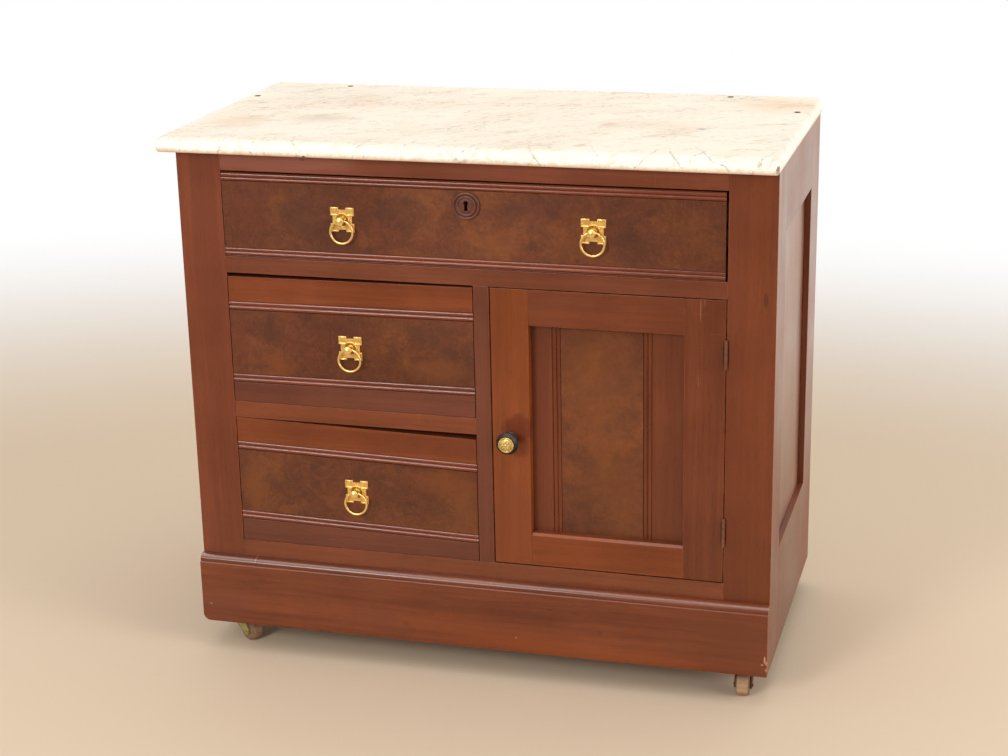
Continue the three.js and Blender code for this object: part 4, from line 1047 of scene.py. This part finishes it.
class WASHSTAND_OT_inside(bpy.types.Operator):
    """Back boards, floors, runners and partition in unfinished wood"""
    bl_idname = "washstand.inside"
    bl_label = "Inside"

    def execute(self, context):
        wood = context.scene.washstand_wood
        grain = {
            "bottom_board": "X", "dust_frame": "X", "partition": "Y",
            "drawer_runner_left": "Y", "drawer_runner_right": "Y",
        }
        for seed, (node, axis) in enumerate(grain.items()):
            finish = bare_wood(f"inside_{node}", axis, scaled(wood.poplar, 0.9), 50 + seed)
            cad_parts[node].data.materials[0] = finish
        self.back(wood, context.scene.washstand_metal)
        return {"FINISHED"}

    def back(self, wood, metal):
        """Three boards across the back, parted at their joints"""
        low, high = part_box("back_boards")
        count = 3
        pitch = (high.z - low.z) / count
        for i in range(count):
            piece = copy_of("back_boards", f"back_board_{i + 1}")
            if i > 0:
                trim(piece, Vector((0, 0, low.z + pitch * i)), -Z)
            if i < count - 1:
                trim(piece, Vector((0, 0, low.z + pitch * (i + 1))), Z)
            tone = scaled(wood.poplar, (0.72 + 0.07 * i, 0.68 + 0.06 * i, 0.62 + 0.05 * i))
            smooth(ease(paint(piece, bare_wood(piece.name, "X", tone, 60 + i)), wood.arris))
            fit(piece, "case", "poplar", "back_boards")
            for side, x in (("left", low.x + 9 * MM), ("right", high.x - 9 * MM)):
                for part, share in (("low", 0.2), ("high", 0.8)):
                    place = Vector((x, high.y, low.z + pitch * (i + share)))
                    name = f"nail_{side}_{part}_{i + 1}"
                    head = cylinder(name, 1.9 * MM, place - Y * 0.4 * MM, place + Y * 0.3 * MM, 20)
                    smooth(ease(paint(head, once("dark_iron", dark_iron, metal)), 0.15 * MM, least=0.2 * MM))
                    fit(head, "case", "iron")


class WASHSTAND_OT_slab(bpy.types.Operator):
    """Marble slab with rounded edges, four holes and small chips"""
    bl_idname = "washstand.slab"
    bl_label = "Marble slab"

    def execute(self, context):
        stone = context.scene.washstand_stone
        low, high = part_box("marble_top")
        slab = cube("slab", low, high)
        slab.data.materials.append(marble_stone(stone, low, high))

        def shown(edge, height):
            """Whether an edge is one of those at a height, apart from the back one"""
            at_height = all(abs(point.co.z - height) < NEAR for point in edge.verts)
            return at_height and any(point.co.y < high.y - NEAR for point in edge.verts)

        for height, size, steps in ((high.z, stone.top_round, 8), (low.z, stone.lower_arris, 4)):
            edit(slab, "EDGE", lambda edge: shown(edge, height))
            bpy.ops.mesh.bevel(offset=size, segments=steps, profile=0.5, affect="EDGES")
            if height == high.z:
                self.corners(slab, low, high, stone)
        middle = (low.x + high.x) / 2
        # Painted shade on the walls of the four holes.
        dirt_and_shade = hollow_shade("hole_shade", srgb(84, 68, 48))
        for spacing, inset in ((540, 14), (744, 109)):
            for sign in (-1, 1):
                place = Vector((middle + sign * spacing / 2 * MM, high.y - inset * MM, low.z - MM))
                hole = cylinder("hole", stone.hole_radius, place, place + Z * (high.z - low.z + 2 * MM))
                carve(slab, paint(hole, dirt_and_shade))
        broken = broken_stone(stone)
        chips = [
            (Vector((high.x - MM, low.y + MM, low.z + 6 * MM)), (3.4, 2.8, 6.5), 1.0),
            (Vector((low.x + 190 * MM, low.y + 1.5 * MM, low.z + MM)), (5.0, 2.4, 2.0), 2.0),
            (Vector((low.x + 198 * MM, low.y + 1.5 * MM, low.z + MM)), (3.4, 2.2, 2.2), 4.0),
            (Vector((low.x + 398 * MM, low.y + 1.5 * MM, low.z + MM)), (4.0, 2.2, 2.0), 3.0),
        ]
        for place, size, seed in chips:
            carve(slab, lump(place, [part * MM for part in size], seed, broken))
        smooth(slab)
        fit(slab, "case", "marble", "marble_top")
        return {"FINISHED"}

    def corners(self, slab, low, high, stone):
        """Rounds the two front corners along the mitres of the rolled edge"""
        for x in (low.x, high.x):
            def mitred(edge):
                steps = [(abs(point.co.x - x), point.co.y - low.y) for point in edge.verts]
                return all(abs(in_x - in_y) < NEAR and in_x < stone.top_round - NEAR for in_x, in_y in steps)

            edit(slab, "EDGE", mitred)
            bpy.ops.mesh.bevel(offset=stone.front_corner, segments=4, profile=0.5, affect="EDGES")


class WASHSTAND_OT_drawers(bpy.types.Operator):
    """Reeded drawer fronts with burl fields, and their boxes"""
    bl_idname = "washstand.drawers"
    bl_label = "Drawers"

    # Strip under the reeds, strip over them and the pitch of the reeds, in mm
    mouldings = {"top": (1.2, 0.6, 5.2), "upper": (27, 32.6, 5.9), "lower": (27, 32.6, 5.9)}

    # Soft patches of the burl: tone, middle and reach along X and Z in mm, and share
    patches = {
        "top": [
            ("red", -278, 609, 40, 36, 0.6), ("dark", -205, 602, 70, 34, 0.55),
            ("amber", 42, 578, 62, 26, 0.5), ("purple", 100, 624, 80, 24, 0.6),
            ("dark", 216, 586, 46, 34, 0.5), ("amber", 290, 600, 48, 40, 0.4),
            ("dark", -170, 578, 50, 26, 0.4), ("dark", -70, 612, 56, 36, 0.6),
        ],
        "upper": [
            ("red", -299, 435, 24, 46, 0.6), ("dark", -260, 451, 30, 30, 0.5),
            ("orange", -246, 406, 36, 22, 0.6), ("purple", -152, 453, 64, 26, 0.6),
            ("green", -43, 453, 54, 30, 0.5), ("amber", -32, 412, 72, 24, 0.5),
        ],
        "lower": [
            ("amber", -293, 241, 26, 50, 0.6), ("dark", -243, 234, 44, 36, 0.5),
            ("orange", -28, 262, 70, 26, 0.7), ("dark", -46, 220, 44, 24, 0.35),
            ("amber", -1, 225, 30, 44, 0.6),
        ],
    }

    def execute(self, context):
        wood = context.scene.washstand_wood
        for seed, (drawer, moulding) in enumerate(self.mouldings.items()):
            self.front(drawer, moulding, wood, 70 + 5 * seed)
            self.box(drawer, wood, 90 + 5 * seed)
        return {"FINISHED"}

    def front(self, drawer, moulding, wood, seed):
        """One drawer's front: reeds, plain strips and the burl between them"""
        node = f"{drawer}_drawer_front"
        below, above, pitch = (size * MM for size in moulding)
        low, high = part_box(node)
        piece = copy_of(node, f"front_{drawer}")
        tops = {}
        for end in (low.x, high.x):
            tops[end] = max(point.co.z for point in piece.data.vertices if abs(point.co.x - end) < MM)
        fall = (tops[low.x] - tops[high.x]) / (high.x - low.x)
        height = (tops[low.x] + tops[high.x]) / 2 - low.z
        middle = (low.x + high.x) / 2
        veneered = 4 * MM
        marks = [below, below + 2 * pitch, height - above - 2 * pitch, height - above]
        reeds = scaled(wood.red_walnut, (1.1, 0.95, 0.95))
        head = scaled(wood.orange_walnut, (0.95, 0.94, 1.1))
        finishes = [
            board(f"front_{drawer}_core", "X", scaled(wood.red_walnut, 0.85), seed),
            board(f"front_{drawer}_foot", "X", scaled(wood.purple_walnut, 1.05), seed + 1),
            board(f"front_{drawer}_reeds", "X", reeds, seed + 2, sheen=0.22, specular=0.5),
            burl_veneer(f"front_{drawer}_burl", wood, seed, self.patches[drawer]),
            board(f"front_{drawer}_head", "X", head, seed + 3),
        ]

        def zone(face):
            place = face.center
            if place.y > low.y + veneered:
                return 0
            rise = place.z - low.z + (place.x - middle) * fall
            if marks[0] <= rise < marks[1] or marks[2] <= rise < marks[3]:
                return 2
            if rise < marks[0]:
                return 1
            return 3 if rise < marks[2] else 4

        ease(piece, wood.arris * 0.8)
        paint(piece, *finishes, zone=zone)
        smooth(piece)
        fit(piece, f"{drawer}_drawer", "burl", node)

    def box(self, drawer, wood, seed):
        """One drawer's box, whose sides and back have their own grain, and its bottom"""
        node = f"{drawer}_drawer_box"
        piece = copy_of(node, f"box_{drawer}")
        low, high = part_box(node)
        wall = 11.2 * MM

        def zone(face):
            return 0 if face.center.x < low.x + wall or face.center.x > high.x - wall else 1

        sides = bare_wood(f"box_{drawer}_sides", "Y", wood.poplar, seed)
        back = bare_wood(f"box_{drawer}_back", "X", scaled(wood.poplar, 0.95), seed + 1)
        ease(piece, wood.arris)
        paint(piece, sides, back, zone=zone)
        smooth(piece)
        fit(piece, f"{drawer}_drawer", "poplar", node)
        bottom = bare_wood(f"bottom_{drawer}", "X", scaled(wood.poplar, 1.03), seed + 2)
        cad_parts[f"{drawer}_drawer_bottom"].data.materials[0] = bottom


class WASHSTAND_OT_pulls(bpy.types.Operator):
    """Four ring pulls: notched plate, ball-ended post, loose ring and the nut inside"""
    bl_idname = "washstand.pulls"
    bl_label = "Ring pulls"

    # Half width of the plate, width of its ears, depth of its notches and its thickness, in mm
    reach = 15.5
    ear = 10.6
    notch = 2.8
    thickness = 1.6

    # Signs of its four quarters along X and Z
    quarters = ((-1, -1), (-1, 1), (1, -1), (1, 1))

    def execute(self, context):
        metal = context.scene.washstand_metal
        finish = brass("bright_brass", metal.bright_brass, srgb(214, 164, 86), 0.25, 0.3, 0.75, 0.03)
        warm, brown = (scaled(metal.bright_brass, share) for share in ((1.0, 0.95, 0.85), (0.55, 0.45, 0.2)))
        cast = brass("cast_brass", warm, srgb(216, 156, 70), 0.4, 0.28, 0.8, 0.3)
        # Painted shade and tarnish: darker brass for the sunk parts round the post.
        tarnish_and_shade = brass("tarnished_shaded_brass", brown, srgb(96, 62, 22), 0.4, 0.34, 0.8)
        plate, ring = self.plate(finish, cast, tarnish_and_shade), self.ring(finish)
        homes = {
            "top_left": ("top_left_pull", "top_drawer"), "top_right": ("top_right_pull", "top_drawer"),
            "upper": ("upper_drawer_pull", "upper_drawer"), "lower": ("lower_drawer_pull", "lower_drawer"),
        }
        for name, (node, drawer) in homes.items():
            low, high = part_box(f"{node}_plate")
            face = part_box(f"{drawer}_front")[0].y
            place = Vector(((low.x + high.x) / 2, face, (low.z + high.z) / 2))
            shown = twin(plate, f"pull_plate_{name}", Matrix.Translation(place))
            fit(shown, drawer, "bright_brass", f"{node}_plate")
            low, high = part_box(f"{node}_ring")
            loop = twin(ring, f"pull_ring_{name}", Matrix.Translation((low + high) / 2))
            fit(loop, f"{name}_ring", "bright_brass", f"{node}_ring")
        bpy.data.objects.remove(plate)
        bpy.data.objects.remove(ring)
        return {"FINISHED"}

    def plate(self, *finishes):
        """Facing -Y, its back on y = 0; finishes of its ball, its plate and its sunk parts"""
        reach, inner = self.reach * MM, (self.reach - self.ear) * MM
        waist = (self.reach - self.notch) * MM
        take(None)
        bpy.ops.mesh.primitive_plane_add(size=2 * reach, rotation=(math.pi / 2, 0, 0))
        plate = named("plate")
        for axis in (X, Z):
            for place in (-waist, -inner, inner, waist):
                edit(plate)
                bpy.ops.mesh.bisect(plane_co=axis * place, plane_no=axis)

        def notched(face):
            middle = face.calc_center_median()
            sizes = abs(middle.x), abs(middle.z)
            return min(sizes) < inner and max(sizes) > waist

        def in_ear(face, sides):
            """Whether a face lies in the ear of the quarter with these signs"""
            middle = face.calc_center_median()
            return middle.x * sides[0] > inner and middle.z * sides[1] > inner

        edit(plate, "FACE", notched)
        bpy.ops.mesh.delete(type="FACE")
        for sides in self.quarters:
            edit(plate, "FACE", lambda face: in_ear(face, sides))
            bpy.ops.mesh.dissolve_faces()
        edit(plate)
        bpy.ops.mesh.extrude_region_move(TRANSFORM_OT_translate={"value": (0, -self.thickness * MM, 0)})
        tidy(plate)
        for sides in self.quarters:
            edit(plate, "FACE", lambda face: face.normal.y < -0.9 and in_ear(face, sides))
            for inset, push in ((1.0, 0.7), (1.1, -0.9)):
                bpy.ops.mesh.inset(thickness=inset * MM)
                bpy.ops.transform.translate(value=(0, -push * MM, 0))
        edit(plate)
        bpy.ops.mesh.dissolve_limited(angle_limit=math.radians(1))
        ease(plate, 0.22 * MM, least=0.5 * MM)
        boss = lathe("boss", self.boss_profile(), Vector(), -Y, 48)
        carve(plate, boss, "UNION")
        eye = Vector((0, -6.8 * MM, 0))
        carve(plate, cylinder("eye", 2.0 * MM, eye - X * 6 * MM, eye + X * 6 * MM))
        inside, half = Vector((0, 22.6 * MM, 0)), Vector((4, 1.1, 4)) * MM
        nut = cube("nut", inside - half, inside + half)
        ease(nut, 0.5 * MM, least=MM)
        whole = joined("plate", plate, nut)
        whole.data.materials.clear()

        # How far out the ball begins, and how far the sunk parts reach from the middle, in mm
        ball, sunk = 9.2, 7.7

        # The ball, the plate, and the sunk parts round the post, which take the painted shade and tarnish.
        def zone(face):
            out, away = -face.center.y / MM, math.hypot(face.center.x, face.center.z) / MM
            if out > ball:
                return 0
            return 2 if out > self.thickness + 0.05 and away < sunk else 1

        paint(whole, *finishes, zone=zone)
        return smooth(whole)

    def boss_profile(self):
        """Shank, relief rings, dome, post and ball, from the back of the shank outwards"""
        return [
            (0, -24.3), (1.7, -24.3), (2, -24), (2, 0.6),
            (8.7, 0.6), (8.7, 1.6), *arc((8.1, 1.9), 0.6, 0, 150, 4),
            (7.2, 1.7), (6.6, 2.3), (5.9, 2.3), (5.4, 1.8),
            *[(4.8 * math.cos(turn), 1.8 + 3 * math.sin(turn)) for turn in (0.15, 0.4, 0.65, 0.85)],
            (3.0, 4.6), (2.9, 8.8), (4.2, 9.3), (5.0, 10.2), (5.3, 11.6), *arc((4.2, 12.8), 1.1, 0, 70, 5),
            (3.6, 14.4), (2.4, 15), (1.1, 15.3), (0, 15.4),
        ]

    def ring(self, finish):
        """A wire ring a little thinner where it runs through its post"""
        take(None)
        bpy.ops.curve.primitive_bezier_circle_add(radius=14.6 * MM, rotation=(math.pi / 2, 0, 0))
        ring = bpy.context.object
        ring.data.bevel_depth = 1.4 * MM
        ring.data.bevel_resolution = 5
        ring.data.resolution_u = 20
        ring.data.use_fill_caps = False
        points = ring.data.splines[0].bezier_points
        highest = max(point.co.y for point in points)
        for point in points:
            point.radius = 0.86 if point.co.y == highest else 1.0
        bpy.ops.object.convert(target="MESH")
        ring = named("ring")
        tidy(ring)
        ring.data.materials.append(finish)
        return smooth(ring)


class WASHSTAND_OT_lock(bpy.types.Operator):
    """Turned escutcheon with its keyhole, and the drawer lock behind it"""
    bl_idname = "washstand.lock"
    bl_label = "Lock and escutcheon"

    def execute(self, context):
        metal = context.scene.washstand_metal
        low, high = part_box("escutcheon")
        place = Vector(((low.x + high.x) / 2, high.y, (low.z + high.z) / 2))
        profile = [
            (0, 0), (16.9, 0), *arc((15.6, 1.6), 2, -50, 120, 8), (13.7, 2.5), (13.3, 2.1), (12.9, 2.6),
            *arc((11.4, 2.9), 1.7, 0, 180, 8), (9.2, 2.3), *arc((6, -14), 16.6, 79, 90, 3), (0, 2.6),
        ]
        plate = lathe("escutcheon_turned", profile, place, -Y, 72)
        plate.data.materials.append(turned_finish("escutcheon_turned", srgb(100, 55, 40), 0.34))
        # Painted shade on the walls of the keyhole.
        dark = hollow_shade("keyhole_shade", srgb(34, 22, 18))
        eye = place + Z * 3.35 * MM
        head = cylinder("head", 2.9 * MM, eye - Y * 9 * MM, eye + Y * MM)
        slot = cube("slot", place - Vector((2.3, 9, 6.25)) * MM, place + Vector((2.3, 1, 3.0)) * MM)
        edit(slot, "VERT", lambda point: point.co.z > place.z)
        bpy.ops.transform.resize(value=(0.72, 1, 1), center_override=place)
        for tool in (head, slot):
            tool.data.materials.append(dark)
            carve(plate, tool)
        smooth(ease(plate, 0.3 * MM, least=MM, angle=70))
        fit(plate, "top_drawer", "turned_wood", "escutcheon")
        iron = once("dark_iron", dark_iron, metal)
        lock = smooth(ease(paint(copy_of("lock_case", "lock_box"), iron), 0.3 * MM))
        middle = broad_face(lock, Y)
        spots = [middle + Vector((x, 0, z)) * MM for x, z in ((-14, -12), (14, -12), (-14, 12), (14, 12))]
        lock = screwed(lock, iron, 1.8 * MM, Y, spots)
        fit(lock, "top_drawer", "iron", "lock_case")
        aged = brass("bolt_brass", metal.aged_brass, srgb(70, 52, 34), 0.5, 0.4)
        bolt = smooth(ease(paint(copy_of("lock_bolt", "lock_tongue"), aged), 0.4 * MM))
        fit(bolt, "bolt", "dull_brass", "lock_bolt")
        return {"FINISHED"}


class WASHSTAND_OT_door(bpy.types.Operator):
    """Door frame and its reeded panel"""
    bl_idname = "washstand.door"
    bl_label = "Door"

    reed_pitch = 5.6

    # Soft patches of the burl: tone, middle and reach along X and Z in mm, and share
    patches = [
        ("amber", 174, 420, 90, 160, 0.5), ("amber", 190, 260, 90, 90, 0.45),
        ("dark", 195, 380, 40, 60, 0.25), ("dark", 150, 300, 30, 50, 0.15),
    ]

    def execute(self, context):
        wood = context.scene.washstand_wood
        red, orange = wood.red_walnut, wood.orange_walnut
        rubbed = once("rubbed_edge", rubbed_edge, wood)
        pale = srgb(186, 132, 100)
        # A dark red patch beside the knob.
        dark_by_knob = on_front(70, 342, 24, 22, srgb(84, 24, 12), 0.5)
        redder = on_front(66, 190, 50, 90, scaled(red, (1.1, 1.05, 0.85)), 0.6)
        scratches = [
            on_front(298, 510, 0.8, 17, pale, 0.3), on_front(303, 521, 0.7, 9, pale, 0.22),
            on_front(296, 420, 0.6, 9, pale, 0.2),
        ]
        # The right stile carries painted shade lines beside the hinges.
        boards = [
            ("door_left_stile", "stile_door_left", "Z", scaled(orange, 0.98), 110, [dark_by_knob, redder]),
            ("door_right_stile", "stile_door_right", "Z", scaled(red, (1.02, 1.0, 0.95)), 111,
             scratches + hinge_shade_lines(326.4)),
            ("door_top_rail", "rail_door_top", "X", scaled(red, (1.06, 1.02, 0.85)), 112, []),
            ("door_bottom_rail", "rail_door_bottom", "X", scaled(orange, (0.94, 0.9, 0.9)), 113, []),
        ]
        for node, name, axis, colour, seed, marks in boards:
            piece = paint(copy_of(node, name), board(name, axis, colour, seed, marks=marks), rubbed)
            smooth(ease(piece, wood.arris, rubbed=1))
            fit(piece, "door", "walnut", node)
        self.panel(wood)
        return {"FINISHED"}

    def panel(self, wood):
        """Panel with its two pairs of reeds and the burl between them"""
        piece = copy_of("door_panel", "panel_door")
        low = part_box("door_panel")[0]
        opening_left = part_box("door_left_stile")[1].x
        opening_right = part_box("door_right_stile")[0].x
        reach, veneered = self.reed_pitch * MM, 4 * MM
        bands = [opening_left + 32 * MM, opening_right - 47.5 * MM]
        finishes = [
            board("panel_strips", "Z", scaled(wood.red_walnut, (1.0, 1.0, 0.95)), 120),
            board("panel_reeds", "Z", scaled(wood.red_walnut, 0.9), 121, sheen=0.28),
            burl_veneer("panel_burl", wood, 122, self.patches),
        ]

        def zone(face):
            place = face.center
            if place.y > low.y + veneered:
                return 0
            if any(abs(place.x - band) < reach for band in bands):
                return 1
            return 2 if bands[0] < place.x < bands[1] else 0

        ease(piece, wood.arris * 0.8)
        paint(piece, *finishes, zone=zone)
        smooth(piece)
        fit(piece, "door", "burl", "door_panel")


class WASHSTAND_OT_hinges(bpy.types.Operator):
    """Butt hinges with their screws"""
    bl_idname = "washstand.hinges"
    bl_label = "Hinges"

    def execute(self, context):
        metal = context.scene.washstand_metal
        aged = brass("hinge_brass", metal.hinge_brass, srgb(104, 62, 42), 0.5, 0.45, 0.7)
        screws = brass("screw_brass", metal.aged_brass, srgb(88, 66, 46), 0.6, 0.4)
        for end in ("lower", "upper"):
            for leaf, body in (("frame", "case"), ("door", "door")):
                node = f"{end}_hinge_{leaf}_leaf"
                piece = paint(copy_of(node, f"hinge_{end}_{leaf}"), aged)
                smooth(ease(piece, 0.15 * MM, least=0.8 * MM))
                out = -X if leaf == "frame" else X
                middle = broad_face(piece, out)
                spots = [middle + Z * step * MM for step in (-13, 0, 13)]
                piece = screwed(piece, screws, 1.9 * MM, out, spots)
                fit(piece, body, "hinge_brass", node)
        return {"FINISHED"}


class WASHSTAND_OT_knob(bpy.types.Operator):
    """Turned door knob, its brass cap and the latch tongue"""
    bl_idname = "washstand.knob"
    bl_label = "Door knob"

    def execute(self, context):
        wood, metal = context.scene.washstand_wood, context.scene.washstand_metal
        low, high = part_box("door_knob")
        place = Vector(((low.x + high.x) / 2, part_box("door_left_stile")[0].y, (low.z + high.z) / 2))
        inner = (high.y - place.y) / MM
        profile = [
            (0, -inner), (4, -inner), (4, 1.5 - inner), (2.4, 1.5 - inner), (2.4, -22), (3, -22), (3, 0.3),
            (9.6, 0.3), *arc((8.4, 1.6), 1.2, 0, 90, 4), (7.6, 3.4), *arc((8.6, 6.3), 2.5, 230, 130, 6),
            (9.2, 10.4), (12.6, 14), (13.6, 16), *arc((12.0, 19.5), 2.4, -40, 70, 8), (11.6, 24), (10.8, 25),
            (0, 25),
        ]
        knob = lathe("knob_turned", profile, place, -Y, 56)
        knob.data.materials.append(turned_finish("knob_turned", wood.ebonised, 0.42, 0.28))
        smooth(knob)
        fit(knob, "knob", "ebonised", "door_knob")
        self.cap(place - Y * 25 * MM, metal)
        tongue = brass("tongue_brass", metal.aged_brass, srgb(70, 52, 34), 0.5, 0.4)
        latch = smooth(ease(paint(copy_of("latch_tongue", "latch_turning"), tongue), 0.4 * MM, least=2 * MM))
        fit(latch, "knob", "dull_brass", "latch_tongue")
        return {"FINISHED"}

    def cap(self, place, metal):
        """Domed cap with a beaded rim round a raised rosette of two rows of petals"""
        finish = brass("cap_brass", metal.cap_brass, srgb(120, 98, 50), 0.45, 0.34, 0.75)
        profile = [
            (0, 0), (10, 0), *arc((9.4, 0.7), 0.6, 0, 90, 4), (8.5, 1.1), (8, 0.9),
            *[(7.7 * math.cos(turn), 0.9 + 2.2 * math.sin(turn)) for turn in (0.1, 0.35, 0.65, 0.95, 1.25)],
            (0, 3.1),
        ]
        parts = [lathe("cap_embossed", profile, place, -Y, 48)]

        # Distance from the middle, rise and half sizes in mm, number round the cap, their turn, their facets
        reliefs = [
            (3.9, 2.9, (1.7, 0.6, 0.9), 8, 0.0, (12, 8)), (6.3, 2.1, (0.8, 0.5, 1.0), 12, 0.5, (12, 8)),
            (8.9, 1.1, (0.6, 0.55, 0.65), 28, 0.5, (12, 8)), (0, 3, (2, 1.3, 2), 1, 0.0, (20, 10)),
        ]
        for radius, rise, size, count, shift, (segments, rings) in reliefs:
            for i in range(count):
                take(None)
                bpy.ops.mesh.primitive_uv_sphere_add(segments=segments, ring_count=rings, radius=1)
                bead = named("bead")
                turn = Matrix.Rotation(2 * math.pi * (i + shift) / count, 4, "Y")
                spot = Matrix.Translation((radius * MM, -rise * MM, 0))
                swell = Matrix.Diagonal((*(part * MM for part in size), 1))
                bead.data.transform(Matrix.Translation(place) @ turn @ spot @ swell)
                parts.append(bead)
        cap = joined("cap_embossed", *parts)
        cap.data.materials.clear()
        cap.data.materials.append(finish)
        smooth(cap)
        fit(cap, "knob", "cap_brass", "knob_cap")


class WASHSTAND_OT_casters(bpy.types.Operator):
    """Four casters: brass forks and turned wooden wheels"""
    bl_idname = "washstand.casters"
    bl_label = "Casters"

    def execute(self, context):
        wood, metal = context.scene.washstand_wood, context.scene.washstand_metal
        pale = brass("caster_brass", metal.aged_brass, srgb(132, 130, 78), 0.5, 0.4, 0.6)
        rusty = brass("caster_brass_brown", scaled(metal.hinge_brass, 0.8), srgb(84, 54, 36), 0.7, 0.42, 0.7)
        tan = turned_finish("caster_wheels", wood.wheel_wood, 0.6)
        rim = turned_finish("caster_rims", scaled(wood.wheel_wood, (0.55, 0.5, 0.45)), 0.6)
        for end in ("front", "rear"):
            for side in ("left", "right"):
                name = f"{end}_{side}"
                metal_finish = pale if side == "left" else rusty
                fork = paint(copy_of(f"{name}_caster_fork", f"fork_{name}"), metal_finish)
                smooth(ease(fork, 0.3 * MM, least=1.5 * MM))
                fit(fork, f"{name}_fork", "dull_brass", f"{name}_caster_fork")
                wheel = copy_of(f"{name}_caster_wheel", f"wheel_{name}")
                axle = max(wheel.data.polygons, key=lambda face: face.area).normal.copy()
                paint(wheel, tan, rim, zone=lambda face: int(abs(face.normal.dot(axle)) > 0.6))
                smooth(wheel)
                fit(wheel, f"{name}_wheel", "wheel_wood", f"{name}_caster_wheel")
        return {"FINISHED"}


class WASHSTAND_PT_panel(bpy.types.Panel):
    """The washstand's steps and values in the sidebar"""
    bl_idname = "WASHSTAND_PT_panel"
    bl_label = "Washstand"
    bl_space_type = "VIEW_3D"
    bl_region_type = "UI"
    bl_category = "Washstand"

    def draw(self, context):
        for operator in OPERATORS:
            self.layout.operator(operator.bl_idname)
        for label in GROUPS:
            values = getattr(context.scene, f"washstand_{label}")
            box = self.layout.box()
            box.label(text=label.title())
            for key in values.bl_rna.properties.keys():
                if key not in ("rna_type", "name"):
                    box.prop(values, key)


GROUPS = {"wood": WashstandWood, "stone": WashstandStone, "metal": WashstandMetal, "view": WashstandView}
OPERATORS = (
    WASHSTAND_OT_stage, WASHSTAND_OT_case, WASHSTAND_OT_inside, WASHSTAND_OT_slab, WASHSTAND_OT_drawers,
    WASHSTAND_OT_pulls, WASHSTAND_OT_lock, WASHSTAND_OT_door, WASHSTAND_OT_hinges, WASHSTAND_OT_knob,
    WASHSTAND_OT_casters,
)


def register():
    for kind in (*GROUPS.values(), *OPERATORS, WASHSTAND_PT_panel):
        bpy.utils.register_class(kind)
    for label, kind in GROUPS.items():
        setattr(bpy.types.Scene, f"washstand_{label}", bpy.props.PointerProperty(type=kind))


def unregister():
    for label in GROUPS:
        delattr(bpy.types.Scene, f"washstand_{label}")
    for kind in (WASHSTAND_PT_panel, *reversed(OPERATORS), *reversed(list(GROUPS.values()))):
        bpy.utils.unregister_class(kind)


def main():
    register()
    bpy.context.scene.view_settings.view_transform = "Standard"
    for operator in OPERATORS:
        module, step = operator.bl_idname.split(".")
        getattr(getattr(bpy.ops, module), step)()
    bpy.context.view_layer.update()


if __name__ == "__main__":
    main()
